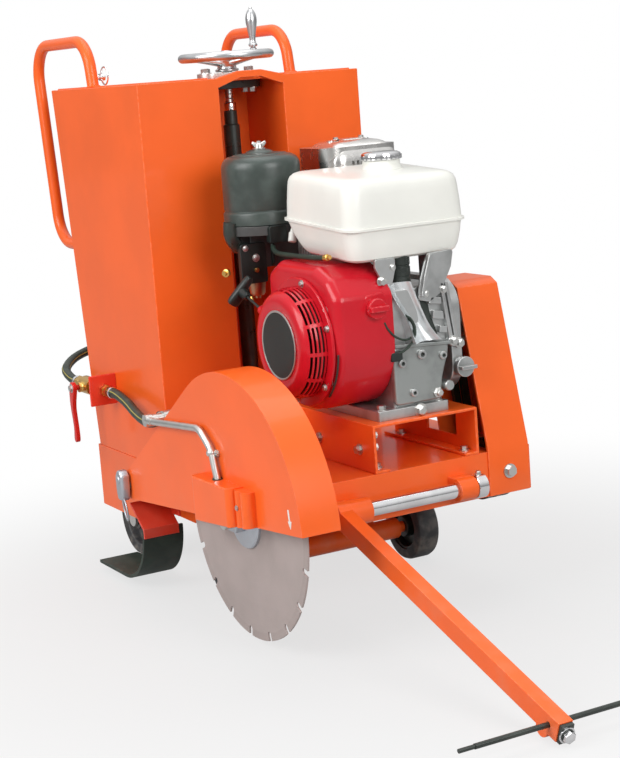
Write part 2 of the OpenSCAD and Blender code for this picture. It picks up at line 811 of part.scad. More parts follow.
module carburettor() {
    color(black) shift() {
        // Flange and spigot of the can, body against the head, float bowl
        translate([air_x, air_y, air_z - 16]) cylinder(r = air_r, h = 16);
        translate([air_x, air_y, air_z - 1]) cylinder(r = air_r - 5, h = 13);
        translate([90, -104, base_z + 238]) cube([45, 93, air_z - base_z - 250]);
        translate([108, -86, base_z + 205]) cylinder(d = 34, h = 34);
    }
}

// Box of the muffler
muffler_x = 48;
muffler_y = 40;
muffler_z = base_z + 306;
muffler_l = 117;
muffler_w = 152;
muffler_h = 126;

module muffler() {
    pipe_x = 110;
    pipe_y = 74;
    sheet = 2;
    outlet_x = muffler_x + 60;
    outlet_z = muffler_z + 40;
    end_y = muffler_y + muffler_w;
    color(steel) shift() difference() {
        union() {
            translate([muffler_x, muffler_y, muffler_z]) linear_extrude(muffler_h)
                round_rect(muffler_l, muffler_w, 30);
            translate([pipe_x, pipe_y, head_top_z]) cylinder(d = 38, h = muffler_z - head_top_z);
            y_bar(outlet_x, outlet_z, 2 * exhaust_r + 4, end_y - sheet, end_y + 22);
        }
        translate([muffler_x + sheet, muffler_y + sheet, muffler_z + sheet])
            linear_extrude(muffler_h - 2 * sheet)
            round_rect(muffler_l - 2 * sheet, muffler_w - 2 * sheet, 30 - sheet);
        y_bar(outlet_x, outlet_z, 2 * exhaust_r, end_y - 4, end_y + 23);
    }
}

module muffler_guard() {
    gap = 5;
    sheet = 2;
    x0 = muffler_x - gap - sheet;
    l = muffler_l + 2 * (gap + sheet);
    h = muffler_h + gap + sheet - 40;
    color(steel) shift() {
        difference() {
            translate([x0, muffler_y + 4, muffler_z + 40]) cube([l, muffler_w - 8, h]);
            translate([x0 + sheet, muffler_y + 3, muffler_z + 39])
                cube([l - 2 * sheet, muffler_w - 6, h - sheet + 1]);
            // Rows of slots
            for (y = [muffler_y + 16:12:muffler_y + muffler_w - 24]) {
                translate([x0 - 1, y, muffler_z + 62]) cube([l + 2, 6, 44]);
                translate([x0 + 20, y, muffler_z + 40 + h - 6]) cube([l - 40, 6, 10]);
            }
        }
        // Feet on the muffler
        for (y = [muffler_y + 38, muffler_y + muffler_w - 38]) {
            translate([muffler_x + muffler_l / 2, y, muffler_z + muffler_h]) cylinder(d = 12, h = gap);
        }
    }
}

module oil_cap() {
    color(alloy) shift() translate([crank_x + 106, oil_y, oil_z]) rotate([0, 90, 0]) {
        translate([0, 0, 0.3]) cylinder(d = 34, h = 9);
        translate([-3, -15, 9]) cube([6, 30, 12]);
        translate([0, 0, -18]) cylinder(d = 18, h = 19);
    }
}

module engine_bolts() {
    color(steel) shift() {
        for (x = [base_front_x - 200, base_front_x - 14], y = [-34, 119]) {
            translate([x, y, base_z + 17]) hex_head(13, 8);
        }
        for (p = [[20, 150], [80, 150], [50, 60], [92, 40]]) {
            translate([case_front_x + 6, p[0], base_z + p[1]]) rotate([0, 90, 0]) hex_head(10, 6);
        }
        for (a = [35, 145, 215, 325]) {
            translate([crank_x + (shroud_r - 14) * cos(a), shroud_face_y, crank_z + (shroud_r - 14) * sin(a)])
                rotate([90, 0, 0]) hex_head(9, 6);
        }
    }
}

module engine_switch() {
    switch_y = -46;
    switch_z = crank_z + 55;
    color(red) shift() translate([crank_x + shroud_r + 0.3, switch_y, switch_z]) rotate([0, 90, 0]) {
        cylinder(d = 34, h = 10);
        translate([-5, -17, 9]) cube([10, 34, 10]);
    }
}

module recoil_grip() {
    grip = rope_start + rope_way * 84;
    hold = unit([-0.287, -0.534, -0.797]);
    color(black) shift() {
        bar(rope_start - rope_way * 40, grip + rope_way * 4, rope_d);
        bar(grip, grip + rope_way * 24, 18);
        bar(grip + rope_way * 24 - hold * 29, grip + rope_way * 24 + hold * 29, 24);
    }
}

// Pulley with a groove for each belt, from pulley_y
module pulley(d, bore) {
    groove = belt_t + 0.5;
    w = belt_w + 2 * pass_gap;
    rotate_extrude() difference() {
        translate([bore / 2, 0]) square([(d - bore) / 2, pulley_w]);
        for (y = belt_y) {
            translate([d / 2 - groove, y - pulley_y - w / 2]) square([groove + 1, w]);
        }
    }
}

module crankshaft() {
    start_y = case_end_y - 58;
    color(steel) shift() {
        y_bar(crank_x, crank_z, crank_d, start_y, pulley_y + pulley_w);
        translate([crank_x, pulley_y, crank_z]) rotate([-90, 0, 0]) pulley(drive_pulley_d, crank_d);
    }
}

module blade_shaft() {
    flange_y = blade_y + blade_t / 2;
    color(steel) shift() {
        y_bar(blade_x, blade_z, shaft_d, flange_y, pulley_y + pulley_w + 4);
        y_bar(blade_x, blade_z, flange_d, flange_y, flange_y + 12);
        y_bar(blade_x, blade_z, blade_bore - 2 * run_fit, guard_out_y - bulge_d + 12, flange_y + 1);
    }
}

module driven_pulley() {
    color(black) shift() translate([blade_x, pulley_y, blade_z]) rotate([-90, 0, 0])
        pulley(driven_pulley_d, shaft_d + 2 * run_fit);
}

module blade() {
    color("rosybrown") shift() y_solid(blade_y - blade_t / 2, blade_t)
        translate([blade_x, blade_z]) difference() {
        circle(d = blade_d, $fn = 96);
        circle(d = blade_bore);
        for (k = [0:blade_slots - 1]) {
            rotate(360 * k / blade_slots + 5) translate([blade_d / 2 - slot_depth, 0]) {
                circle(d = slot_w);
                translate([0, -slot_w / 2]) square([slot_depth + 2, slot_w]);
            }
        }
    }
}

module blade_flange() {
    face_y = blade_y - blade_t / 2;
    color(steel) shift() difference() {
        union() {
            y_bar(blade_x, blade_z, flange_d, face_y - 10, face_y);
            translate([blade_x, face_y - 10, blade_z]) rotate([90, 0, 0]) cylinder(d = 44, h = 18, $fn = 6);
        }
        y_bar(blade_x, blade_z, blade_bore, face_y - 30, face_y + 1);
    }
}

// Upper edge of the guard from its hinge boss to its rim
guard_edge = touch_angle(blade_x + hinge_back, blade_z - hinge_z, hinge_boss_r, guard_r);
guard_low_rear = hinge_z - hinge_boss_r - 3;
guard_low_front = blade_z + 18;

// Side outline of the guard, drawn in by the given wall
module guard_outline(wall) {
    r1 = hinge_boss_r - wall;
    r2 = guard_r - wall;
    a = [-hinge_back, hinge_z];
    b = [blade_x, blade_z];
    e = [cos(guard_edge), sin(guard_edge)];
    difference() {
        union() {
            translate(a) circle(r1);
            translate(b) circle(r2, $fn = 96);
            polygon([a + r1 * e, b + r2 * e, b, [blade_x, 0], [a[0], a[1] - r1]]);
        }
        polygon([[-200, guard_low_rear - 19], [-200, -100], [900, -100], [900, guard_low_front + 28],
            [blade_x + guard_r, guard_low_front], [-hinge_back, guard_low_rear]]);
    }
}

// Box of the guard's bulge over the shaft end
bulge_back_x = blade_x - 85;
bulge_front_x = blade_x + 52;
bulge_nose_x = blade_x + 92;
bulge_top_z = blade_z + 64;

// Bulge block with two upright flutes, drawn in by the given wall
module bulge_block(wall) {
    flute_r = 12;
    flute_y = bulge_y + 9 + flute_r;
    flute_h = bulge_top_z - 122 - wall;
    back_x = bulge_front_x - 14;
    translate([bulge_back_x + wall, bulge_y + wall, 120]) linear_extrude(bulge_top_z - 120 - wall)
        round_rect(bulge_front_x - bulge_back_x - 2 * wall, bulge_d + 20, 12 - wall);
    for (x = [bulge_front_x + 9, bulge_nose_x - flute_r]) {
        translate([x, flute_y, 120]) cylinder(r = flute_r - wall, h = flute_h);
    }
    translate([back_x, flute_y, 120])
        cube([bulge_nose_x - 1 - wall - back_x, bulge_y + bulge_d + 10 - flute_y, flute_h]);
}

module guard_shell() {
    color(orange) shift() difference() {
        union() {
            // Two side plates with the rim between them
            difference() {
                y_solid(guard_out_y, guard_w) guard_outline(0);
                difference() {
                    y_solid(guard_out_y + guard_t, guard_w - 2 * guard_t) guard_outline(guard_t);
                    y_bar(-hinge_back, hinge_z, 2 * hinge_boss_r, guard_out_y, guard_in_y);
                }
                y_solid(guard_out_y + guard_t, guard_w - 2 * guard_t)
                    translate([60, 0]) square([900, blade_z]);
            }
            intersection() {
                bulge_block(0);
                y_plate([[-200, guard_low_rear - 16], [900, guard_low_front + 26], [900, 500], [-200, 500]],
                    guard_out_y - bulge_d, bulge_d);
            }
        }
        bulge_block(guard_t);
        // Notch for the shaft in the inner plate, bore for the hinge pin
        y_solid(guard_in_y - guard_t - 1, guard_t + 2) {
            translate([blade_x, blade_z]) circle(shaft_d / 2 + 12);
            translate([blade_x - shaft_d / 2 - 12, 100]) square([shaft_d + 24, blade_z - 100]);
        }
        y_bar(-hinge_back, hinge_z, hinge_pin_d + 2 * run_fit, guard_out_y - 1, guard_in_y + 1);
    }
}

module guard_pin() {
    head_y = guard_out_y - 14;
    color(steel) shift() {
        y_bar(-hinge_back, hinge_z, hinge_pin_d, head_y, -side_y + plate_t);
        // Cross pin with its wire ring
        y_bar(-hinge_back, hinge_z, hinge_pin_d + 8, head_y, guard_out_y - pass_gap);
        translate([-hinge_back, head_y + 6, hinge_z - 30]) cylinder(d = 8, h = 60);
        translate([-hinge_back, head_y + 6, hinge_z - 38]) rotate([90, 0, 0]) rotate_extrude()
            translate([18, 0]) circle(1.6);
    }
}

// Place of the tee on the guard's upper edge, and its rise over that edge
tee_x = 105;
tee_rise = 25.14871;
tee_z = guard_edge_z(tee_x) + tee_rise;
tee_mid_y = guard_out_y + 32;
pipe_y = guard_out_y - 8;

// Height of the guard's upper edge at x
function guard_edge_z(x) = hinge_z + hinge_boss_r / sin(guard_edge) - (x + hinge_back) / tan(guard_edge);

module guard_fitting() {
    color(steel) shift() {
        y_bar(tee_x, tee_z, 18, guard_out_y - 14, guard_in_y - 4);
        y_bar(tee_x, tee_z, 24, guard_out_y + 20, guard_in_y - 20);
        for (y = [guard_out_y - 14, guard_in_y - 16]) {
            translate([tee_x, y + 12, tee_z]) rotate([90, 0, 0]) cylinder(d = 23, h = 12, $fn = 6);
        }
        // Ferrule of the pipe, barb of the hose and foot on the guard's edge
        translate([tee_x, pipe_y, tee_z]) rotate([0, 90, 0]) cylinder(d = 14, h = 22);
        bar(guard_route[len(guard_route) - 1], [tee_x, tee_mid_y, tee_z], 15);
        translate([tee_x - 6, tee_mid_y - 12, guard_edge_z(tee_x + 6) + 0.2])
            cube([12, 24, tee_z - guard_edge_z(tee_x + 6)]);
    }
}

module guard_pipe() {
    turn_x = blade_x - 76;
    fall_x = blade_x - 36;
    end_x = blade_x - 22;
    clip_z = bulge_top_z + 46;
    way = bent([[tee_x + 22, pipe_y, tee_z], [turn_x, pipe_y, tee_z + 16], [fall_x, pipe_y, clip_z],
        [end_x, pipe_y, bulge_top_z]], 3 * pipe_d, 4);
    color(steel) shift() {
        tube(way, pipe_d, [1, 0, 0], [0, 0, -1], [0, 1, 0], 12);
        // Clip on the guard's plate
        translate([fall_x - 7, pipe_y, clip_z - 16]) cube([22, guard_out_y - pipe_y, 9]);
    }
}

// Place and bend of the splash flap
flap_x = 20;
flap_r = 102;
flap_low = 14;
flap_top = flap_low + flap_r + 8;

module flap_bracket() {
    sheet = 4;
    flange_y = -side_y - sheet;
    low = mid_low_z + 2;
    color(red) shift() {
        y_plate([[-30, low], [30, low], [30, low + 24], [-30, low + 24]], flange_y, sheet);
        y_plate([[flap_x - 53, low + 24], [flap_x - 49, low + 27], [flap_x + 2, flap_top],
            [flap_x + sheet, flap_top], [flap_x + sheet, flap_top - 18], [flap_x, flap_top - 18],
            [flap_x, flap_top - 3]],
            guard_out_y, flange_y + 1 - guard_out_y);
    }
}

module rubber_flap() {
    w = 78;
    tail = 125;
    color(black) shift() y_solid(guard_out_y, w) {
        intersection() {
            translate([flap_x - flap_r, flap_low + flap_r]) difference() {
                circle(flap_r, $fn = 96);
                circle(flap_r - flap_t, $fn = 96);
            }
            translate([flap_x - flap_r, flap_low]) square([flap_r, flap_r]);
        }
        translate([flap_x - flap_t, flap_low + flap_r]) square([flap_t, flap_top - flap_low - flap_r - 4]);
        translate([flap_x - flap_r - tail, flap_low]) square([tail, flap_t]);
    }
}

module valve_bracket() {
    color(red) shift() difference() {
        translate([-225, console_y - half_w - 54, valve_z - 28]) cube([5, 54, 58]);
        translate([-226, -256, valve_z]) rotate([0, 90, 0]) cylinder(d = 14 + 2 * run_fit, h = 7);
    }
}

module water_valve() {
    color("goldenrod") shift() difference() {
        union() {
            translate([-350, -256, valve_z]) rotate([0, 90, 0]) cylinder(d = 18, h = 125);
            translate([-318, -256, valve_z]) rotate([0, 90, 0]) cylinder(d = 34, h = 44);
            translate([-348, -256, valve_z]) rotate([0, 90, 0]) cylinder(d = 28, h = 22, $fn = 6);
            translate([-262, -256, valve_z]) rotate([0, 90, 0]) cylinder(d = 28, h = 37, $fn = 6);
            // Boss of the stem
            y_bar(-296, valve_z, 20, -280, -256);
        }
        y_bar(-296, valve_z, 10 + 2 * run_fit, -281, -262);
    }
}

module valve_lever() {
    color(red) shift() {
        y_bar(-296, valve_z, 10, -288, -263);
        y_solid(-294, 8) {
            link([-296, valve_z], [-302, valve_z - 40], 20);
            link([-302, valve_z - 40], [-300, valve_z - lever_len], 13);
        }
    }
}

module hose_supply() {
    color("darkolivegreen") shift()
        tube(smooth(supply_route, 4), hose_d, [-1, 0, 0], [1, 0, 0], [0, 0, 1], 12);
}

module hose_guard() {
    last = guard_route[len(guard_route) - 1];
    way_in = [tee_x, tee_mid_y, tee_z] - last;
    color("darkolivegreen") shift()
        tube(smooth(guard_route, 4), hose_d, [1, 0, 0], way_in, [0, 1, 0], 12);
}

module hose_fittings() {
    color(steel) shift() {
        // Nipple on the bracket's front side, toward the guard hose
        translate([-220, -256, valve_z]) rotate([0, 90, 0]) cylinder(d = 24, h = 12, $fn = 6);
        translate([-209, -256, valve_z]) rotate([0, 90, 0]) cylinder(d = 20, h = 15);
        // Spigot on the console's back
        difference() {
            translate([-374, -110, 395]) rotate([0, 90, 0]) cylinder(d = 22, h = 40);
            console_block(0);
        }
    }
}

module handwheel() {
    knob_top = wheel_rim_z + 14 + knob_h;
    kx = rim_r * cos(knob_angle);
    ky = rim_r * sin(knob_angle);
    color(alloy) shift() translate([-screw_back, console_y, 0]) {
        difference() {
            union() {
                translate([0, 0, bearing_top_z + pass_gap])
                    cylinder(d1 = 46, d2 = 34, h = wheel_rim_z - bearing_top_z + 4);
                for (a = [30, 150, 270]) {
                    rotate(a) bar([14, 0, wheel_rim_z - 14], [rim_r, 0, wheel_rim_z], 11);
                }
                translate([0, 0, wheel_rim_z]) rotate_extrude()
                    translate([rim_r, 0]) circle(d = handwheel_rim);
            }
            translate([0, 0, bearing_top_z - 1]) cylinder(d = screw_d - 2, h = 60);
        }
        // Pin of the hand knob
        translate([kx, ky, wheel_rim_z]) cylinder(d = 8, h = knob_top - wheel_rim_z);
        translate([kx, ky, knob_top + pass_gap]) cylinder(d = 14, h = 4);
        translate([kx, ky, knob_top - 1]) cylinder(d = 8, h = 3);
        translate([kx, ky, wheel_rim_z]) cylinder(d = 16, h = 13.5);
    }
}

module hand_knob() {
    kx = rim_r * cos(knob_angle);
    ky = rim_r * sin(knob_angle);
    bore = 4 + run_fit;
    color(black) shift() translate([kx - screw_back, console_y + ky, wheel_rim_z + 14]) rotate_extrude()
        polygon([[bore, 0], [knob_d / 2 - 4, 0], [knob_d / 2 - 2, 4], [knob_d / 2, knob_h * 0.65],
        [knob_d / 2 - 3, knob_h - 4], [knob_d / 2 - 7, knob_h], [bore, knob_h]]);
}

module lift_screw() {
    tip_z = nut_top_z - 157;
    plate_low = console_top_z - 6;
    color(steel) shift() translate([-screw_back, console_y, 0]) {
        translate([0, 0, tip_z]) cylinder(d = screw_d, h = plate_low - tip_z);
        translate([0, 0, plate_low - 12]) cylinder(d = neck_d + 10, h = 11);
        translate([0, 0, plate_low - 2]) cylinder(d = neck_d, h = bearing_top_z - plate_low + 2);
        translate([0, 0, bearing_top_z]) cylinder(d = screw_d - 2, h = wheel_rim_z - bearing_top_z + 5);
    }
}

module lift_tube() {
    thin_z = nut_top_z - 42;
    color(black) shift() translate([-screw_back, console_y, 0]) {
        difference() {
            union() {
                translate([0, 0, nut_top_z - 12]) cylinder(d = nut_tube_d, h = 12);
                translate([0, 0, thin_z]) cylinder(d = nut_tube_d - 6, h = nut_top_z - thin_z - 6);
                translate([0, 0, nut_pin_z + 20]) cylinder(d = nut_tube_d, h = thin_z - nut_pin_z - 20);
            }
            translate([0, 0, nut_pin_z + 30]) cylinder(d = screw_d + 4, h = thin_z - nut_pin_z - 40);
            translate([0, 0, nut_pin_z + 30]) cylinder(d = screw_d + 2 * run_fit, h = nut_top_z);
        }
        translate([-12, -10, nut_pin_z - 13]) cube([24, 20, 34]);
        y_bar(0, nut_pin_z, nut_pin_d, -31, 31);
    }
}

module front_axle() {
    pivot = [rocker_x, rocker_z];
    axle = [front_axle_x, front_wheel_d / 2];
    end_y = wheel_y + wheel_w / 2 + 1;
    lever_way = [-cos(lever_rise), sin(lever_rise)];
    color(red) shift() difference() {
        union() {
            y_bar(pivot[0], pivot[1], rocker_shaft_d + 15, -119, 119);
            y_bar(axle[0], axle[1], 38, -150, 150);
            y_bar(axle[0], axle[1], axle_d, -end_y, end_y);
            for (y = [-end_y - 6, end_y]) {
                y_bar(axle[0], axle[1], axle_d + 12, y, y + 6);
            }
            for (y = [-102, 90]) {
                y_solid(y, 12) link(pivot, axle, 36);
            }
            for (y = [console_y - 28, console_y + 17]) {
                y_solid(y, 11) difference() {
                    link(pivot, pivot + lever_way * 136, 38);
                    link(pivot + lever_way * 112, pivot + lever_way * 128, nut_pin_d + 6);
                }
            }
        }
        y_bar(pivot[0], pivot[1], rocker_shaft_d + 2 * run_fit, -130, 130);
    }
}

// Tyre of a front wheel at mid-plane y
module front_tyre(y) {
    r = front_wheel_d / 2;
    w = wheel_w / 2;
    color(black) shift() translate([front_axle_x, y, r]) rotate([90, 0, 0]) rotate_extrude()
        polygon([[r - 20, -w + 3], [r - 6, -w], [r, -w + 7], [r, w - 7], [r - 6, w], [r - 20, w - 3]]);
}

// Hub of a front wheel at mid-plane y
module front_hub(y) {
    r = front_wheel_d / 2 - 20 - run_fit;
    w = wheel_w / 2;
    b = axle_d / 2 + run_fit;
    color(alloy) shift() translate([front_axle_x, y, front_wheel_d / 2]) rotate([90, 0, 0]) rotate_extrude()
        polygon([[b, -w + 0.5], [b + 9, -w + 0.5], [b + 10, -6], [r - 5, -6], [r - 4, -w + 4], [r, -w + 3],
        [r, w - 3], [r - 4, w - 4], [r - 5, 6], [b + 10, 6], [b + 9, w - 0.5], [b, w - 0.5]]);
}

module front_tyre_right() {
    front_tyre(-wheel_y);
}

module front_hub_right() {
    front_hub(-wheel_y);
}

module front_tyre_left() {
    front_tyre(wheel_y);
}

module front_hub_left() {
    front_hub(wheel_y);
}

// Rear wheel at mid-plane y
module rear_wheel(y) {
    r = rear_wheel_d / 2;
    w = wheel_w / 2;
    b = axle_d / 2 + run_fit;
    color(black) shift() translate([-rear_axle_back, y, r]) rotate([90, 0, 0]) rotate_extrude()
        polygon([[b, -w + 0.5], [b + 12, -w + 0.5], [b + 14, -8], [r - 26, -8], [r - 22, -w + 3],
        [r - 6, -w], [r, -w + 7], [r, w - 7], [r - 6, w], [r - 22, w - 3], [r - 26, 8], [b + 14, 8],
        [b + 12, w - 0.5], [b, w - 0.5]]);
}

module rear_wheel_right() {
    rear_wheel(-wheel_y);
}

module rear_wheel_left() {
    rear_wheel(wheel_y);
}

// Places children in the pointer arm's frame: x along the arm, z square to it
module on_arm() {
    translate([arm_pivot_x, 0, arm_pivot_z]) rotate([0, arm_slope, 0]) children();
}

module pointer_arm() {
    hub_d = pointer_pivot_d + 19;
    wall = 3;
    half = arm_h / 2;
    sleeve_end = arm_y + arm_w + 38;
    color(orange) shift() on_arm() difference() {
        union() {
            // Bar with its hub, and the rounded cheek at its end
            y_solid(arm_y, arm_w) {
                circle(d = hub_d);
                translate([0, -half]) square([arm_len + 20, arm_h]);
                translate([arm_len - 12, 1 - half]) circle(13);
            }
            y_bar(0, 0, hub_d - 2, arm_y + arm_w - 1, sleeve_end);
        }
        translate([40, arm_y + wall, wall - half]) cube([arm_len - 80, arm_w - 2 * wall, arm_h - 2 * wall]);
        y_bar(0, 0, pointer_pivot_d + 2 * run_fit, arm_y - 1, sleeve_end + 1);
        y_bar(arm_len, 0, pointer_rod_d + 2 * run_fit, arm_y - 1, arm_y + arm_w + 1);
    }
}

module pointer_clamp() {
    color(black) shift() on_arm() {
        translate([arm_len + 20, arm_y + 2, -arm_h / 2]) cube([6, arm_w - 4, arm_h - 2]);
        translate([arm_len + 26, arm_y + arm_w / 2, -2]) rotate([0, 90, 0]) hex_head(15, 9);
    }
}

module pointer_rod() {
    half = pointer_rod_len / 2;
    spigot_d = pointer_rod_d - 1.6;
    color(black) shift() on_arm() {
        y_bar(arm_len, 0, pointer_rod_d, rod_mid_y - half + spigot_l, rod_mid_y + half - spigot_l);
        // Turned-down ends for a marker
        y_bar(arm_len, 0, spigot_d, rod_mid_y - half, rod_mid_y + half);
    }
}

chassis_frame();
engine_platform();
frame_bolts();
console();
screw_bearing();
handle_right();
handle_left();
handle_pin();
belt_guard();
v_belts();
blade_bearings();
pivot_rod();
axle_shafts();
crankcase();
side_cover();
cylinder_head();
fan_shroud();
recoil_cover();
fuel_tank();
air_cover();
wing_nut();
carburettor();
muffler();
muffler_guard();
engine_bolts();
valve_bracket();
water_valve();
hose_supply();
hose_fittings();
guard_pin();
flap_bracket();
rubber_flap();
fuel_cap();
oil_cap();
engine_switch();
recoil_grip();
crankshaft();
valve_lever();
hose_guard();
guard_shell();
guard_pipe();
guard_fitting();
blade_shaft();
blade();
blade_flange();
driven_pulley();
handwheel();
hand_knob();
lift_screw();
lift_tube();
front_axle();
front_tyre_right();
front_hub_right();
front_tyre_left();
front_hub_left();
rear_wheel_right();
rear_wheel_left();
pointer_arm();
pointer_clamp();
pointer_rod();
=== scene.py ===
"""Looks of a walk-behind concrete saw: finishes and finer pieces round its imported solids."""
import json
import math

import bmesh
import bpy
from mathutils import Matrix, Vector
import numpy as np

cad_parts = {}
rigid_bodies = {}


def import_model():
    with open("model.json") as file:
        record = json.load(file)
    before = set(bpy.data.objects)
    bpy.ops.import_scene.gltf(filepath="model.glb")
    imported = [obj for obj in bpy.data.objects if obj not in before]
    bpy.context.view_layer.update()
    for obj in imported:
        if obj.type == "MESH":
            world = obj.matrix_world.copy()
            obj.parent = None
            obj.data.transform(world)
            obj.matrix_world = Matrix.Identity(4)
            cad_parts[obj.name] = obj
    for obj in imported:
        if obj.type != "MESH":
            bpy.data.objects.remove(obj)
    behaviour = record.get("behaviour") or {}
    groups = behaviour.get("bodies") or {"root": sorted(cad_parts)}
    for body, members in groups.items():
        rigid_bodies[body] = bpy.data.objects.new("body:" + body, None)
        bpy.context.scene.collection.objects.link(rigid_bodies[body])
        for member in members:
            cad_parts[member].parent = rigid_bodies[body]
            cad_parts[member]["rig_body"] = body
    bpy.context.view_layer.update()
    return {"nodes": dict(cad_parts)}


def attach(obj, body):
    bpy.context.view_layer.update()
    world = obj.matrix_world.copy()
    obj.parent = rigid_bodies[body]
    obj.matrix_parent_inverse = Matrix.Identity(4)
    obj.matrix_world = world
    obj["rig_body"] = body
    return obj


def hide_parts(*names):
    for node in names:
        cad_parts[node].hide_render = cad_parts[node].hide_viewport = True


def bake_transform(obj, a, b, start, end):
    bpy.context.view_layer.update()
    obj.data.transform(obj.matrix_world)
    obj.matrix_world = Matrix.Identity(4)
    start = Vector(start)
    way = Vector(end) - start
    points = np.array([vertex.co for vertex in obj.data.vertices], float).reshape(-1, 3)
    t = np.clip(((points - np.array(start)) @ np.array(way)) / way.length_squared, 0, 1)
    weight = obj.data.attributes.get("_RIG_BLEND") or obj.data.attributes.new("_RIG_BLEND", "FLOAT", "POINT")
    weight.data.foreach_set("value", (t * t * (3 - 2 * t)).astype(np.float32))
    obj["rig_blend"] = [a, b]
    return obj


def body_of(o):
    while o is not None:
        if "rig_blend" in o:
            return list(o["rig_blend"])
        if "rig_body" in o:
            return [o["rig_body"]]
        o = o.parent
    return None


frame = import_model()

# ------------------------------------------------------------------ places
# Sizes below are millimetres from the console's front foot; the row is in metres from its own middle.
MM = 0.001
ROW_SHIFT = Vector((-265.5278499, 49.5, 0.0))
TO_ROW = Matrix.Scale(MM, 4) @ Matrix.Translation(ROW_SHIFT)
FROM_ROW = TO_ROW.inverted()
LEFT, RIGHT = 1, -1
FORWARD, LEFTWARD, RIGHTWARD, UPWARD, DOWNWARD = (1, 0, 0), (0, 1, 0), (0, -1, 0), (0, 0, 1), (0, 0, -1)

# Cross axles as (x, z), the depth screw as (x, y)
CRANK = (326.0, 467.0)
BLADE = (388.0, 212.0)
PIVOT = (473.0, 208.0)
GUARD_HINGE = (-27.0, 197.0)
CONSOLE_MID = -10.0
SCREW = (-92.0, CONSOLE_MID)
# Levels of the recoil cover's seat, the guard's outer face and the blade's outer face
RECOIL_Y, GUARD_Y, BLADE_Y = -118.0, -304.0, -277.6
ROPE_START, ROPE_WAY = Vector((264, -144, 505)), Vector((-0.94, 0, 0.34)).normalized()


def at(x, y, z):
    """Point of the row, in metres, for a place on the machine in millimetres."""
    return TO_ROW @ Vector((x, y, z))


def linked(name, data):
    """New object in the scene."""
    made = bpy.data.objects.new(name, data)
    bpy.context.collection.objects.link(made)
    return made


# ------------------------------------------------------------------ camera
CAMERA_PLACE = (2825.2, -1458.2, 905.0)
TURN_TIP_ROLL = (-28.33, 10.02, -4.24)
SENSOR = 36.0
FOCAL_PIXELS, PICTURE_PIXELS = 1750.8, 758.0


def stand_camera():
    """Camera at the photograph's place: turned, tipped and rolled about the machine."""
    turn, tip, roll = (math.radians(a) for a in TURN_TIP_ROLL)
    back = Vector((math.cos(turn) * math.cos(tip), math.sin(turn) * math.cos(tip), math.sin(tip)))
    right = Vector(UPWARD).cross(back).normalized()
    up = back.cross(right)
    across = math.cos(roll) * right + math.sin(roll) * up
    upward = -math.sin(roll) * right + math.cos(roll) * up
    eye = bpy.data.cameras.new("camera")
    eye.sensor_width = SENSOR
    eye.lens = SENSOR * FOCAL_PIXELS / PICTURE_PIXELS
    stand = linked("camera", eye)
    stand.matrix_world = Matrix.Translation(at(*CAMERA_PLACE)) @ Matrix(
        (across, upward, back)).transposed().to_4x4()
    bpy.context.scene.camera = stand


stand_camera()
bpy.context.scene.view_settings.view_transform = "Standard"


# ------------------------------------------------------------------ nodes of finishes and patterns
class Value:
    """Number on a node's socket; sums and products of it add Math nodes."""

    def __init__(self, nodes, socket):
        self.nodes, self.socket = nodes, socket

    def math(self, operation, first, second):
        return self.nodes.node("ShaderNodeMath", {0: first, 1: second}, operation=operation)

    def __add__(self, other):
        return self.math("ADD", self, other)

    def __sub__(self, other):
        return self.math("SUBTRACT", self, other)

    def __rsub__(self, other):
        return self.math("SUBTRACT", other, self)

    def __mul__(self, other):
        return self.math("MULTIPLY", self, other)

    __radd__ = __add__


class Nodes:
    """Tree of nodes under work."""

    def __init__(self, tree):
        self.tree = tree
        self.tree.nodes.clear()

    def node(self, kind, inputs=None, output=0, **settings):
        """Adds a node with its settings, and then the values or links of its sockets."""
        made = self.tree.nodes.new(kind)
        for key, value in settings.items():
            setattr(made, key, value)
        for key, value in (inputs or {}).items():
            for one in value if isinstance(value, list) else [value]:
                if isinstance(one, Value):
                    self.tree.links.new(one.socket, made.inputs[key])
                else:
                    made.inputs[key].default_value = one
        return Value(self, made.outputs[output])

    def part(self, place, axis):
        """One of the three numbers of a place."""
        return self.node("ShaderNodeSeparateXYZ", {0: place}, axis)

    def reach(self, first, second):
        """Distance from the middle, of a place on two axes."""
        return self.node("ShaderNodeMath", {0: first * first + second * second}, operation="SQRT")

    def ramp(self, value, low, high, start=0.0, end=1.0):
        """Value turned into start up to low and end from high."""
        return self.node("ShaderNodeMapRange", {"Value": value, "From Min": low, "From Max": high, "To Min": start,
                                                "To Max": end}, interpolation_type="SMOOTHSTEP")


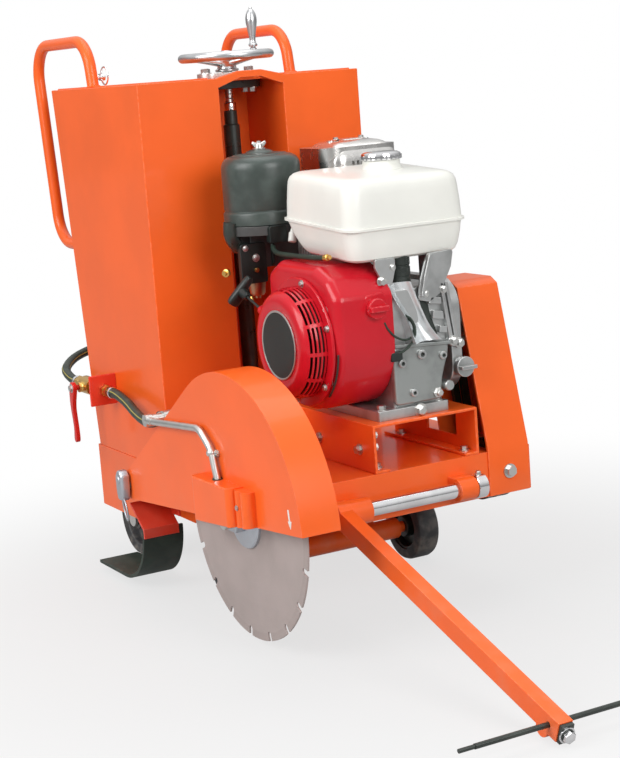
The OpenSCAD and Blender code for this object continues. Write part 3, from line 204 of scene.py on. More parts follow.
class Finish(Nodes):
    """Material of one finish; what varies feeds colour, roughness, metal, coat and bump alone."""

    def __init__(self, name):
        self.material = bpy.data.materials.new(name)
        self.material.use_nodes = True
        super().__init__(self.material.node_tree)
        self.shader = self.tree.nodes.new("ShaderNodeBsdfPrincipled")
        self.end = self.tree.nodes.new("ShaderNodeOutputMaterial")
        self.tree.links.new(self.shader.outputs[0], self.end.inputs[0])
        self.place = self.node("ShaderNodeTexCoord", output="Object")

    def noise(self, per_metre, detail, stretch=None):
        place = self.place
        if stretch:
            place = self.node("ShaderNodeMapping", {"Vector": place, "Scale": stretch})
        return self.node("ShaderNodeTexNoise", {"Vector": place, "Scale": per_metre, "Detail": detail})

    def mix(self, share, first, second):
        pair = [c if isinstance(c, Value) else (*c, 1.0) for c in (first, second)]
        return self.node("ShaderNodeMix", {0: share, 6: pair[0], 7: pair[1]}, 2, data_type="RGBA")

    def edge(self):
        """One on the softened edges of a piece, nought elsewhere."""
        return self.node("ShaderNodeAttribute", output="Fac", attribute_name="edge")

    def height(self):
        return self.part(self.place, 2)

    def bump(self, height, strength, depth):
        return self.node("ShaderNodeBump", {"Height": height, "Strength": strength, "Distance": depth})

    def set(self, **sockets):
        for label, value in sockets.items():
            socket = self.shader.inputs[label.replace("_", " ")]
            if isinstance(value, Value):
                self.tree.links.new(value.socket, socket)
            else:
                socket.default_value = (*value, 1.0) if isinstance(value, tuple) else value
        return self.material


def shade(colour, by):
    """Colour made lighter or darker."""
    return tuple(c * by for c in colour)


def powder_coat(name, colour, roughness, dusty):
    """Sprayed paint: faint clouding and orange peel, paler edges that are partly wear and partly a painted highlight,
    dust low down.
    """
    f = Finish(name)
    cloud, peel, fleck = f.noise(7, 3), f.noise(520, 1), f.noise(150, 4)
    dust = f.ramp(f.height(), 0.30, 0.05, 0.0, dusty) * f.ramp(f.noise(18, 5), 0.42, 0.72)
    # Paler rounded edges, patchy where worn: partly wear and partly a painted highlight
    worn_and_lit_edge = f.edge() * f.ramp(fleck, 0.40, 0.62)
    base = f.mix(f.ramp(cloud, 0.3, 0.7), shade(colour, 0.95), shade(colour, 1.04))
    base = f.mix(worn_and_lit_edge * 0.45, base, tuple(min(1, c * 1.05 + 0.10) for c in colour))
    base = f.mix(dust, base, (0.50, 0.38, 0.28))
    return f.set(Base_Color=base, Roughness=roughness + cloud * 0.06 + dust * 0.5, Coat_Weight=0.22 - dust * 0.5,
                 Coat_Roughness=0.08, Specular_IOR_Level=0.26, Normal=f.bump(peel, 0.06, 0.0006))


def bright_metal(name, colour, roughness, spread, brush=None):
    """Bare or plated metal with cloudy polish; brush stretches its fine marks one way."""
    f = Finish(name)
    cloud, grain = f.noise(28, 4), f.noise(900, 2, brush)
    base = f.mix(f.ramp(cloud, 0.35, 0.7), shade(colour, 0.88), colour)
    # Lighter rounded edges: a painted highlight
    base = f.mix(f.edge() * 0.5, base, shade(colour, 1.1))
    return f.set(Base_Color=base, Metallic=1.0, Roughness=roughness + cloud * spread,
                 Normal=f.bump(grain, 0.05, 0.0004))


def cast_metal(name, colour, roughness, metal):
    """Die-cast skin: sandy grain, darker patches of oil, paler edges that are a painted highlight."""
    f = Finish(name)
    sand, cloud = f.noise(1100, 2), f.noise(22, 5)
    base = f.mix(f.ramp(cloud, 0.38, 0.75), colour, shade(colour, 0.66))
    # Paler rounded edges: a painted highlight
    base = f.mix(f.edge() * 0.6, base, shade(colour, 1.25))
    return f.set(Base_Color=base, Metallic=metal, Roughness=roughness + cloud * 0.16,
                 Normal=f.bump(sand, 0.16, 0.0006))


def moulding(name, colour, roughness, grain, dusty=0.0):
    """Black plastic or rubber: fine grain, greyed edges that are a painted highlight, and a little dust."""
    f = Finish(name)
    skin, cloud = f.noise(grain, 3), f.noise(30, 4)
    dust = f.ramp(f.height(), 0.16, 0.0, 0.0, dusty) * f.ramp(f.noise(45, 5), 0.40, 0.70)
    base = f.mix(f.ramp(cloud, 0.35, 0.75), colour, tuple(c * 1.5 + 0.004 for c in colour))
    # Greyed rounded edges: a painted highlight
    base = f.mix(f.edge() * 0.35, base, tuple(c + 0.05 for c in colour))
    base = f.mix(dust, base, (0.33, 0.30, 0.26))
    return f.set(Base_Color=base, Roughness=roughness + cloud * 0.14 + dust * 0.2,
                 Normal=f.bump(skin, 0.12, 0.0005))


def ground_blade(name):
    """Blade: warm grey core with fine turning marks, darker diamond edge."""
    f = Finish(name)
    middle = at(BLADE[0], 0, BLADE[1])
    radius = f.reach(f.part(f.place, 0) - middle.x, f.part(f.place, 2) - middle.z)
    marks = f.node("ShaderNodeTexNoise", {"W": radius, "Scale": 1500.0, "Detail": 2.0}, noise_dimensions="1D")
    rim = f.ramp(radius, 0.1855, 0.1885)
    cloud = f.noise(16, 4)
    base = f.mix(f.ramp(cloud, 0.3, 0.75), (0.46, 0.385, 0.365), (0.41, 0.345, 0.325))
    base = f.mix(f.ramp(marks, 0.55, 0.75) * 0.25, base, (0.56, 0.49, 0.47))
    base = f.mix(rim * 0.20, base, (0.34, 0.29, 0.275))
    return f.set(Base_Color=base, Metallic=0.25, Roughness=0.40 + cloud * 0.12 + rim * 0.2,
                 Normal=f.bump(marks, 0.10, 0.0003))


def striped_hose(name):
    """Hose: dark green rubber with three thin yellow lines along it and a fine cross weave."""
    f = Finish(name)
    spot = f.node("ShaderNodeTexCoord", output="UV")
    along, round_it = f.part(spot, 0), f.part(spot, 1)
    wave = f.node("ShaderNodeMath", {0: round_it * (6 * math.pi)}, operation="SINE")
    ribs = f.node("ShaderNodeMath", {0: along * 2600.0}, operation="SINE")
    stripe = f.ramp(wave, 0.93, 0.97)
    base = f.mix(f.ramp(f.noise(60, 4), 0.4, 0.7), (0.020, 0.032, 0.024), (0.045, 0.058, 0.045))
    base = f.mix(stripe * 0.8, base, (0.50, 0.42, 0.10))
    return f.set(Base_Color=base, Roughness=0.42 + f.noise(80, 3) * 0.15, Normal=f.bump(ribs, 0.08, 0.0003))


# Maker of each slot's finish, and what it is given
MADE_BY = {
    "orange_paint": (powder_coat, (0.92, 0.130, 0.016), 0.30, 0.16),
    "red_paint": (powder_coat, (0.56, 0.009, 0.020), 0.22, 0.0),
    "tank_paint": (powder_coat, (0.80, 0.80, 0.75), 0.30, 0.0),
    "bright_steel": (bright_metal, (0.66, 0.66, 0.64), 0.24, 0.22),
    "chrome": (bright_metal, (0.82, 0.82, 0.83), 0.06, 0.14),
    "muffler_steel": (bright_metal, (0.70, 0.69, 0.67), 0.16, 0.20, (1, 12, 1)),
    "blade_steel": (ground_blade,),
    "cast_alloy": (cast_metal, (0.52, 0.53, 0.525), 0.24, 0.80),
    "black_iron": (moulding, (0.020, 0.026, 0.022), 0.22, 500),
    "black_plastic": (moulding, (0.006, 0.0100, 0.0088), 0.34, 900),
    "carburettor_alloy": (cast_metal, (0.10, 0.10, 0.098), 0.34, 0.5),
    "black_rubber": (moulding, (0.010, 0.022, 0.014), 0.46, 420, 0.07),
    "wheel_rubber": (moulding, (0.022, 0.022, 0.024), 0.46, 380, 0.45),
    "hose_rubber": (striped_hose,),
    "brass": (bright_metal, (0.70, 0.44, 0.13), 0.20, 0.22),
}
FINISH = {slot: maker(slot, *given) for slot, (maker, *given) in MADE_BY.items()}
# Finishes that single pieces have in place of their slot's
LEVER_RED = powder_coat("lever_red", (0.62, 0.02, 0.015), 0.30, 0.0)
CAN_BLACK = moulding("can_black", (0.040, 0.053, 0.047), 0.27, 900)
WHEEL_ALLOY = bright_metal("wheel_alloy", (0.60, 0.61, 0.62), 0.20, 0.20)
# Orange paint darkened toward crimson: painted shade, used for the brackets in place of the lit orange
ORANGE_IN_PAINTED_SHADE = powder_coat("bracket_red", (0.78, 0.050, 0.022), 0.30, 0.10)
FLANGE_STEEL = bright_metal("flange_steel", (0.58, 0.62, 0.67), 0.36, 0.20)
BOWL_COPPER = bright_metal("bowl_copper", (0.46, 0.25, 0.15), 0.28, 0.22)
# Darker copy of the cast alloy: painted shade on the crankcase's lower front
CASE_ALLOY_IN_PAINTED_SHADE = cast_metal("case_dark", (0.38, 0.40, 0.39), 0.28, 0.80)
# Brighter copy of the cast alloy: a painted highlight on the saddle
SADDLE_ALLOY_PAINTED_HIGHLIGHT = cast_metal("saddle_bright", (0.76, 0.79, 0.80), 0.22, 0.80)
WHITE_MARK = powder_coat("white_mark", (0.80, 0.78, 0.74), 0.40, 0.0)


# ------------------------------------------------------------------ mesh work
# Degrees from which an edge is shaded as sharp, and from which it is rounded
SMOOTH, EDGE_ANGLE = 32.0, 32.0
# Shares of a rounding's width that are tried in turn, and the turned-over area, in square metres, that ends the tries
NARROWER, FOLD_LIMIT = (1.0, 0.7, 0.5, 0.35, 0.22, 0.12), 1e-6
# Gap, in metres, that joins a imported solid's corners, and the bend, in degrees, that counts as flat
SAME_POINT, FLAT_BEND = 2e-6, 0.4
# Least length, in millimetres, that has a direction, and the gap that closes a hoop
TINY, HOOP_GAP = 1e-6, 0.001
# Segments of a broad rounding
BROAD_SEGMENTS = 4


def settled(mesh, name):
    """Mesh under work made into a plain one."""
    data = bpy.data.meshes.new(name)
    mesh.to_mesh(data)
    mesh.free()
    return data


def applied(made):
    """Plain mesh of an object as its modifiers leave it; they are cleared."""
    data = bpy.data.meshes.new_from_object(made.evaluated_get(bpy.context.evaluated_depsgraph_get()))
    made.modifiers.clear()
    return data


def evened(made):
    """Normals weighted by the size of the faces, so that flat sheet looks flat up to its rounded edges."""
    modifier = made.modifiers.new("even", "WEIGHTED_NORMAL")
    modifier.mode, modifier.weight, modifier.keep_sharp = "FACE_AREA", 100, True
    rough, made.data = made.data, applied(made)
    bpy.data.meshes.remove(rough)


def piece(name, mesh, slot, body="chassis", nodes=(), finish=None, in_row=False, smooth=SMOOTH, even=False):
    """Piece of the machine from a mesh under work, on its body, in its slot's finish."""
    if not in_row:
        mesh.transform(TO_ROW)
    mesh.normal_update()
    data = settled(mesh, name)
    data.materials.append(finish or FINISH[slot])
    data.shade_smooth()
    data.set_sharp_from_angle(angle=math.radians(smooth))
    made = linked(name, data)
    if even:
        evened(made)
    if body:
        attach(made, body)
    if nodes:
        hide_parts(*nodes)
    return made


def turned_over(mesh):
    """Area of the triangles that face against their own polygon."""
    mesh.normal_update()
    area = 0.0
    for loops in mesh.calc_loop_triangles():
        a, b, c = (loop.vert.co for loop in loops)
        across = (b - a).cross(c - a)
        if across.dot(loops[0].face.normal) < 0:
            area += across.length / 2
    return area


def soften(mesh, width, segments, chosen=None):
    """Copy with its outer edges rounded, and the new faces marked as edge; narrower where a face would turn over."""
    for share in NARROWER:
        trial = mesh.copy()
        mark = trial.faces.layers.float.get("edge") or trial.faces.layers.float.new("edge")
        sharp = [e for e in trial.edges if len(e.link_faces) == 2 and e.is_convex
                 and e.calc_face_angle(0) > math.radians(EDGE_ANGLE) and (chosen is None or chosen(e))]
        made = bmesh.ops.bevel(trial, geom=sharp, offset=width * share, offset_type="OFFSET", segments=segments,
                               profile=0.5, affect="EDGES", clamp_overlap=False)
        for face in made["faces"]:
            face[mark] = 1.0
        if turned_over(trial) < FOLD_LIMIT:
            break
    mesh.free()
    return trial


def dress(node, slot, width, segments=2, finish=None, broad=()):
    """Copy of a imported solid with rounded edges, in place of it; broad lists (test of an edge, width), done first."""
    source = frame["nodes"][node]
    mesh = bmesh.new()
    mesh.from_mesh(source.data)
    bmesh.ops.remove_doubles(mesh, verts=mesh.verts, dist=SAME_POINT)
    bmesh.ops.dissolve_limit(mesh, angle_limit=math.radians(FLAT_BEND), verts=mesh.verts, edges=mesh.edges)
    for chosen, wide in broad:
        mesh = soften(mesh, wide * MM, BROAD_SEGMENTS, chosen)
    mesh = soften(mesh, width * MM, segments)
    piece(node + "_dressed", mesh, slot, body_of(source)[0], (node,), finish, in_row=True, even=True)


def coat(node, slot):
    """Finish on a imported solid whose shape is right."""
    data = frame["nodes"][node].data
    data.materials.clear()
    data.materials.append(FINISH[slot])


def axes(way):
    """Two directions square to a way, and the way itself, each of length one."""
    way = Vector(way).normalized()
    side = Vector(UPWARD) if abs(way.z) < 0.9 else Vector(FORWARD)
    first = side.cross(way).normalized()
    return first, way.cross(first), way


def around(count):
    """Angles of a full turn in equal steps."""
    return [math.tau * k / count for k in range(count)]


def loft(rings, ends=(True, True), keep=None):
    """Skin over rings of points; a ring of one point is a tip, and a face is left out where keep says no."""
    mesh = bmesh.new()
    rows = [[mesh.verts.new(p) for p in ring] for ring in rings]
    count = max(len(row) for row in rows)
    for i, (low, high) in enumerate(zip(rows, rows[1:])):
        for j in range(count):
            k = (j + 1) % count
            if keep and not keep(i, j):
                continue
            corners = ([low[j], low[k]] if len(low) > 1 else [low[0]]) + (
                [high[k], high[j]] if len(high) > 1 else [high[0]])
            mesh.faces.new(corners)
    for row, closed in ((rows[0], ends[0]), (rows[-1], ends[1])):
        if closed and len(row) > 2:
            mesh.faces.new(row)
    bmesh.ops.recalc_face_normals(mesh, faces=mesh.faces)
    return mesh


def turned(profile, foot, way=UPWARD, sides=48, keep=None):
    """Turned shape: profile of (radius, height) about an axis from foot along way."""
    first, second, way = axes(way)
    foot = Vector(foot)
    rings = []
    for radius, height in profile:
        middle = foot + way * height
        if radius < TINY:
            rings.append([middle])
        else:
            rings.append([middle + radius * (math.cos(a) * first + math.sin(a) * second) for a in around(sides)])
    return loft(rings, (False, False), keep)


def hoop(middle, way, radius, section, sides, across, flat=1.0):
    """Closed ring of round section about a way; flat stretches the section along it."""
    first, second, way = axes(way)
    middle = Vector(middle)
    rings = []
    for a in around(sides):
        out = math.cos(a) * first + math.sin(a) * second
        rings.append([middle + out * (radius + section * math.cos(b)) + way * section * flat * math.sin(b)
                      for b in around(across)])
    mesh = loft(rings + rings[:1], (False, False))
    bmesh.ops.remove_doubles(mesh, verts=mesh.verts, dist=HOOP_GAP)
    bmesh.ops.recalc_face_normals(mesh, faces=mesh.faces)
    return mesh


def joined(*meshes):
    """One mesh of several."""
    whole = bmesh.new()
    for mesh in meshes:
        data = settled(mesh, "part")
        whole.from_mesh(data)
        bpy.data.meshes.remove(data)
    return whole


def bent(points, radius, steps):
    """Way through points with its corners rounded to a radius."""
    points = [Vector(p) for p in points]
    way = [points[0]]
    for before, corner, after in zip(points, points[1:], points[2:]):
        a, b = (before - corner).normalized(), (after - corner).normalized()
        half = a.angle(b) / 2
        middle = corner + (a + b).normalized() * radius / math.sin(half)
        start, end = (corner + d * radius / math.tan(half) - middle for d in (a, b))
        turn = start.angle(end)
        way += [middle + (start * math.sin((1 - t) * turn) + end * math.sin(t * turn)) / math.sin(turn)
                for t in (k / steps for k in range(steps + 1))]
    return way + [points[-1]]


def smooth_way(points, steps=4):
    """Smooth way through the route's points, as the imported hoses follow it."""
    points = [Vector(p) for p in points]
    way = []
    for i in range(len(points) - 1):
        p0, p1, p2 = points[max(i - 1, 0)], points[i], points[i + 1]
        p3 = points[min(i + 2, len(points) - 1)]
        for k in range(steps):
            t = k / steps
            way.append(0.5 * (2 * p1 + (p2 - p0) * t + (2 * p0 - 5 * p1 + 4 * p2 - p3) * t ** 2
                              + (3 * p1 - p0 - 3 * p2 + p3) * t ** 3))
    return way + [points[-1]]


def swept(way, radius, sides):
    """Closed tube along a way, with a map of its length and of its round."""
    way = [Vector(p) for p in way]
    tangents = [(way[min(i + 1, len(way) - 1)] - way[max(i - 1, 0)]).normalized() for i in range(len(way))]
    side = axes(tangents[0])[0]
    rings, reach = [], [0.0]
    for i, (middle, tangent) in enumerate(zip(way, tangents)):
        side = (side - tangent * side.dot(tangent)).normalized()
        other = tangent.cross(side)
        rings.append([middle + radius * (math.cos(a) * side + math.sin(a) * other)
                      for a in around(sides)])
        if i:
            reach.append(reach[-1] + (middle - way[i - 1]).length)
    mesh = bmesh.new()
    chart = mesh.loops.layers.uv.new("chart")
    rows = [[mesh.verts.new(p) for p in ring] for ring in rings]
    for i in range(len(rows) - 1):
        for j in range(sides):
            k = (j + 1) % sides
            face = mesh.faces.new((rows[i][j], rows[i][k], rows[i + 1][k], rows[i + 1][j]))
            spots = ((i, j), (i, j + 1), (i + 1, j + 1), (i + 1, j))
            for corner, (a, b) in zip(face.loops, spots):
                corner[chart].uv = (reach[a] * MM, b / sides)
    mesh.faces.new(list(reversed(rows[0])))
    mesh.faces.new(rows[-1])
    bmesh.ops.recalc_face_normals(mesh, faces=mesh.faces)
    return mesh


def length_of(way):
    """Length along a way."""
    return sum((b - a).length for a, b in zip(way, way[1:]))


def rounded(x0, x1, y0, y1, radius, steps):
    """Outline of a rounded rectangle."""
    points = []
    for cx, cy, start in ((x1 - radius, y1 - radius, 0), (x0 + radius, y1 - radius, 90),
                          (x0 + radius, y0 + radius, 180), (x1 - radius, y0 + radius, 270)):
        for k in range(steps + 1):
            a = math.radians(start + 90 * k / steps)
            points.append((cx + radius * math.cos(a), cy + radius * math.sin(a)))
    return points


def filleted(points, radius, steps):
    """Outline with its corners rounded; radius is one number or one for each corner."""
    count = len(points)
    radii = radius if isinstance(radius, list) else [radius] * count
    made = []
    for i, (corner, r) in enumerate(zip(points, radii)):
        flat = [Vector((*points[(i - 1) % count], 0)), Vector((*corner, 0)), Vector((*points[(i + 1) % count], 0))]
        if r <= 0:
            made.append(tuple(corner))
        else:
            made += [(p.x, p.y) for p in bent(flat, r, steps)[1:-1]]
    return made


def drawn_in(outline, by):
    """Outline moved inward."""
    count = len(outline)
    area = sum(a[0] * b[1] - b[0] * a[1] for a, b in zip(outline, outline[1:] + outline[:1]))
    turn = 1 if area > 0 else -1
    made = []
    for i, here in enumerate(outline):
        before, after = Vector(outline[i - 1]), Vector(outline[(i + 1) % count])
        here = Vector(here)
        a, b = (here - before), (after - here)
        normal = Vector((0, 0))
        for d in (a, b):
            if d.length > TINY:
                d = d.normalized()
                normal += Vector((-d.y, d.x)) * turn
        normal.normalize()
        # The cosine is held off nought, so that a sharp corner doesn't run far in
        facing = max(0.4, normal.dot(Vector((-a.y, a.x)).normalized() * turn)) if a.length > TINY else 1.0
        made.append(tuple(here + normal * by / facing))
    return made


def slab(outline, low, high, low_round, high_round, place, steps=4):
    """Plate of an outline between two levels with rounded rims; place turns (u, v, level) into a point."""
    quarter = [math.pi / 2 * k / steps for k in range(steps + 1)]
    rims = [(low + low_round * (1 - math.sin(a)), low_round * (1 - math.cos(a))) for a in quarter[::-1]]
    rims += [(high - high_round * (1 - math.sin(a)), high_round * (1 - math.cos(a))) for a in quarter]
    return loft([[Vector(place(u, v, level)) for u, v in drawn_in(outline, inset)] for level, inset in rims])


def flat_xy(u, v, level):
    """Outline lies flat, and the level is a height."""
    return (u, v, level)


def flat_xz(u, v, level):
    """Outline stands along the machine, and the level goes across it."""
    return (u, level, v)


def flat_yz(u, v, level):
    """Outline stands across the machine, and the level goes along it."""
    return (level, u, v)


# ------------------------------------------------------------------ patterns of repeats
class Pattern(Nodes):
    """Geometry Nodes tree with named sizes, run once over a seed mesh and kept as a plain mesh."""

    def __init__(self, name, **sizes):
        super().__init__(bpy.data.node_groups.new(name, "GeometryNodeTree"))
        face = self.tree.interface
        face.new_socket("Geometry", in_out="INPUT", socket_type="NodeSocketGeometry")
        face.new_socket("Geometry", in_out="OUTPUT", socket_type="NodeSocketGeometry")
        kinds = {int: "NodeSocketInt", float: "NodeSocketFloat", Vector: "NodeSocketVector"}
        self.sizes = {label: (face.new_socket(label, in_out="INPUT", socket_type=kinds[type(value)]), value)
                      for label, value in sizes.items()}
        self.entry = self.tree.nodes.new("NodeGroupInput")

    def size(self, label):
        return Value(self, self.entry.outputs[label])

    def attribute(self, label, kind):
        return self.node("GeometryNodeInputNamedAttribute", {"Name": label}, data_type=kind)

    def scatter(self, shape, **more):
        """Copies of a shape on the seed's points."""
        points = self.node("GeometryNodeMeshToPoints", {"Mesh": self.size("Geometry")})
        return self.node("GeometryNodeInstanceOnPoints", {"Points": points, "Instance": shape, **more})

    def run(self, shape, seed, name, slot, body, nodes=(), smooth=SMOOTH):
        """Ends the tree, runs it over the seed and keeps the result as a piece."""
        whole = self.node("GeometryNodeRealizeInstances", {"Geometry": shape})
        whole = self.node("GeometryNodeSetMaterial", {"Geometry": whole, "Material": FINISH[slot]})
        end = self.tree.nodes.new("NodeGroupOutput")
        self.tree.links.new(whole.socket, end.inputs["Geometry"])
        carrier = linked(name + "_seed", seed)
        modifier = carrier.modifiers.new("pattern", "NODES")
        modifier.node_group = self.tree
        for socket, value in self.sizes.values():
            modifier[socket.identifier] = value
        data = applied(carrier)
        bpy.data.objects.remove(carrier)
        mesh = bmesh.new()
        mesh.from_mesh(data)
        bpy.data.meshes.remove(data)
        piece(name, mesh, slot, body, nodes, in_row=True, smooth=smooth)


def seed_points(spots, **values):
    """Mesh of loose points in the row with an attribute for each list of values."""
    data = bpy.data.meshes.new("seed")
    data.from_pydata([at(*p) for p in spots], [], [])
    for label, row in values.items():
        kind = "FLOAT_VECTOR" if isinstance(row[0], (tuple, Vector)) else "FLOAT"
        layer = data.attributes.new(label, kind, "POINT")
        for item, value in zip(layer.data, row):
            if kind == "FLOAT":
                item.value = value
            else:
                item.vector = value
    return data


def hex_heads(name, heads, slot="bright_steel", body="chassis", sides=6, nodes=()):
    """Bolt heads or nuts on washers; each head is (place, way, width across flats, height)."""
    seed = seed_points([h[0] for h in heads], way=[Vector(h[1]).normalized() for h in heads],
                       wide=[h[2] * MM for h in heads], tall=[h[3] * MM for h in heads])
    p = Pattern(name, Corner=0.577, Washer=0.78, Neck=0.40, Sides=sides)
    count, corner = p.size("Sides"), p.size("Corner")
    parts = []
    # Head, crown and washer with their places up the bolt, for a width and a height of one
    for kind, rise, sizes in (
            ("Cylinder", 0.5, {"Vertices": count, "Radius": corner, "Depth": 0.8}),
            ("Cone", 0.9, {"Vertices": count, "Radius Top": p.size("Neck"), "Radius Bottom": corner, "Depth": 0.12}),
            ("Cylinder", 0.05, {"Vertices": 28, "Radius": p.size("Washer"), "Depth": 0.14})):
        solid = p.node("GeometryNodeMesh" + kind, sizes)
        parts.append(p.node("GeometryNodeTransform", {"Geometry": solid, "Translation": (0, 0, rise)}))
    whole = p.node("GeometryNodeJoinGeometry", {0: parts})
    turn = p.node("FunctionNodeAlignRotationToVector", {"Vector": p.attribute("way", "FLOAT_VECTOR")}, axis="Z")
    wide, tall = p.attribute("wide", "FLOAT"), p.attribute("tall", "FLOAT")
    spread = p.node("ShaderNodeCombineXYZ", {0: wide, 1: wide, 2: tall})
    p.run(p.scatter(whole, Rotation=turn, Scale=spread), seed, name, slot, body, nodes, 25)


def thread(name, foot, height, radius, pitch, wire, slot, body):
    """Screw thread: a spiral bead up a shaft."""
    p = Pattern(name, Height=height * MM, Radius=radius * MM, Wire=wire * MM, Turns=float(height / pitch))
    line = p.node("GeometryNodeCurveSpiral", {
        "Resolution": 24, "Rotations": p.size("Turns"), "Start Radius": p.size("Radius"),
        "End Radius": p.size("Radius"), "Height": p.size("Height")})
    wire_round = p.node("GeometryNodeCurvePrimitiveCircle", {"Resolution": 6, "Radius": p.size("Wire")})
    bead = p.node("GeometryNodeCurveToMesh", {"Curve": line, "Profile Curve": wire_round, "Fill Caps": True})
    bead = p.node("GeometryNodeTransform", {"Geometry": bead, "Translation": tuple(at(*foot))})
    p.run(bead, bpy.data.meshes.new("seed"), name, slot, body)


# ------------------------------------------------------------------ hoses, leads and the throttle's sleeve (cords)
SUPPLY_ROUTE = [(-350, -256, 338), (-390, -256, 341), (-438, -248, 352), (-474, -215, 366), (-482, -172, 378),
                (-462, -132, 388), (-420, -112, 394), (-374, -110, 395)]
GUARD_ROUTE = [(-194, -256, 338), (-160, -256, 337), (-110, -258, 328), (-60, -262, 315), (-10, -266, 309),
               (35, -269, 315), (66, -271, 331)]
# Where the guard's hose starts to bend, and where it stops
BEND_FROM, BEND_TO = (-170, -256, 337), (52, -270, 323)
SWITCH_LEADS = {
    "switch_lead": [(440, -30, 497), (441, -25, 486), (442, -15, 474), (442, -2, 466), (442, 11, 464), (441, 21, 469),
                    (440, 25, 480), (438, 23, 490), (433, 18, 497)],
    "ground_lead": [(432, 13, 503), (439, 20, 497), (443, 25, 484), (444, 24, 470), (443, 17, 457), (441, 7, 448),
                    (438, -3, 443), (434, -10, 440)]}
THROTTLE_SLEEVE = [(186, -88, 612), (200, -92, 606), (218, -95, 603.4), (244, -96, 602.8), (274, -96.5, 602.7),
                   (304, -96.5, 602.7), (334, -96, 602.9), (358, -95, 603.6), (376, -93, 605)]
HOSE_R, LEAD_R, SLEEVE_R = 9.0, 1.9, 4.3


def declare(cord, way):
    """Works out the length along a cord's way, and does nothing with it."""
    length_of(way) * MM


def lay_hoses():
    """Supply hose to the tank behind, and the hose that bends with the blade guard."""
    way = smooth_way(SUPPLY_ROUTE)
    hose = piece("supply_hose", swept(way, HOSE_R, 20), "hose_rubber", "chassis", ("hose_supply",))
    declare(hose, way)
    way = smooth_way(GUARD_ROUTE)
    hose = piece("guard_hose", swept(way, HOSE_R, 20), "hose_rubber", None, ("hose_guard",))
    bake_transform(hose, "chassis", "blade_guard", start=at(*BEND_FROM), end=at(*BEND_TO))
    declare(hose, way)


def lay_thin(name, route, radius):
    """Thin cord of black rubber."""
    way = smooth_way(route, 5)
    declare(piece(name, swept(way, radius, 12), "black_rubber"), way)


def lay_leads():
    """Short leads between the engine switch and the crankcase, and the sleeve of the throttle wire."""
    for name, route in SWITCH_LEADS.items():
        lay_thin(name, route, LEAD_R)
    lay_thin("throttle_sleeve", THROTTLE_SLEEVE, SLEEVE_R)


lay_hoses()
lay_leads()


# ------------------------------------------------------------------ console, handles and chassis
# Distance from the blade's axle that is rim, and the level past which a corner is on the guard's bulge
RIM_FROM, BULGE_FROM = 170.0, -331.5


def on_guard_rim(edge):
    """Whether an edge lies on the outer rim of the guard's side plate."""
    x, y, z = FROM_ROW @ ((edge.verts[0].co + edge.verts[1].co) / 2)
    return abs(y - GUARD_Y) < 0.05 and math.hypot(x - BLADE[0], z - BLADE[1]) > RIM_FROM


def on_bulge(edge):
    """Whether an edge bounds the outermost face of the guard's bulge."""
    return all((FROM_ROW @ v.co).y < BULGE_FROM for v in edge.verts)


def build_frame():
    """Sheet-steel frame: console, chassis, platform and guards with folded, rounded edges."""
    for node, width in (("console", 2.2), ("chassis_frame", 1.6), ("engine_platform", 1.6), ("belt_guard", 1.2),
                        ("pointer_arm", 1.8), ("front_axle", 1.4)):
        dress(node, "orange_paint", width)
    # The valve and flap brackets take the orange in painted shade
    dress("valve_bracket", "orange_paint", 2.0, finish=ORANGE_IN_PAINTED_SHADE)
    dress("flap_bracket", "orange_paint", 0.8, finish=ORANGE_IN_PAINTED_SHADE)
    dress("guard_shell", "orange_paint", 0.8, broad=((on_guard_rim, 2.6), (on_bulge, 5.0)))
    dress("screw_bearing", "bright_steel", 1.0)
    for slot, nodes in (("bright_steel", ("frame_bolts", "axle_shafts", "crankshaft", "blade_shaft", "guard_fitting")),
                        ("black_iron", ("blade_bearings", "driven_pulley", "pointer_clamp", "pointer_rod")),
                        ("black_rubber", ("v_belts",)), ("brass", ("hose_fittings",)), ("chrome", ("handle_pin",))):
        for node in nodes:
            coat(node, slot)


HANDLE_R, HANDLE_SIDE, HANDLE_BEND = 11.0, 207.0, 62.0


def build_handles():
    """Bent tube handles with weld beads at both feet."""
    for side, name in ((RIGHT, "handle_right"), (LEFT, "handle_left")):
        y = CONSOLE_MID + side * HANDLE_SIDE
        way = bent([(-232.7, y, 892), (-248, y, 986), (-520, y, 986), (-474, y, 602), (-370, y, 602)], HANDLE_BEND, 14)
        beads = [hoop((-234.1, y, 900.6), (-0.16, 0, 1), HANDLE_R + 1, 2.2, 40, 8),
                 hoop((-378.9, y, 602), (-1, 0, 0.1), HANDLE_R + 1, 2.2, 40, 8)]
        piece(name + "_tube", joined(swept(way, HANDLE_R, 28), *beads), "orange_paint", "chassis", (name,))


def build_console_trim():
    """Cap plates on the console's top, on both sides of the depth screw."""
    for tag, y0, y1 in (("right", -223, -88), ("left", 68, 203)):
        outline = rounded(-404, -12, y0, y1, 4, 3)
        piece("cap_plate_" + tag, slab(outline, 899.5, 902.2, 0.2, 1.2, flat_xy), "orange_paint")


RIM_Z, RIM_R, SPOKES = 939.0, 79.5, (30, 150, 270)
KNOB = (SCREW[0] - 31.06, SCREW[1] + 73.18)


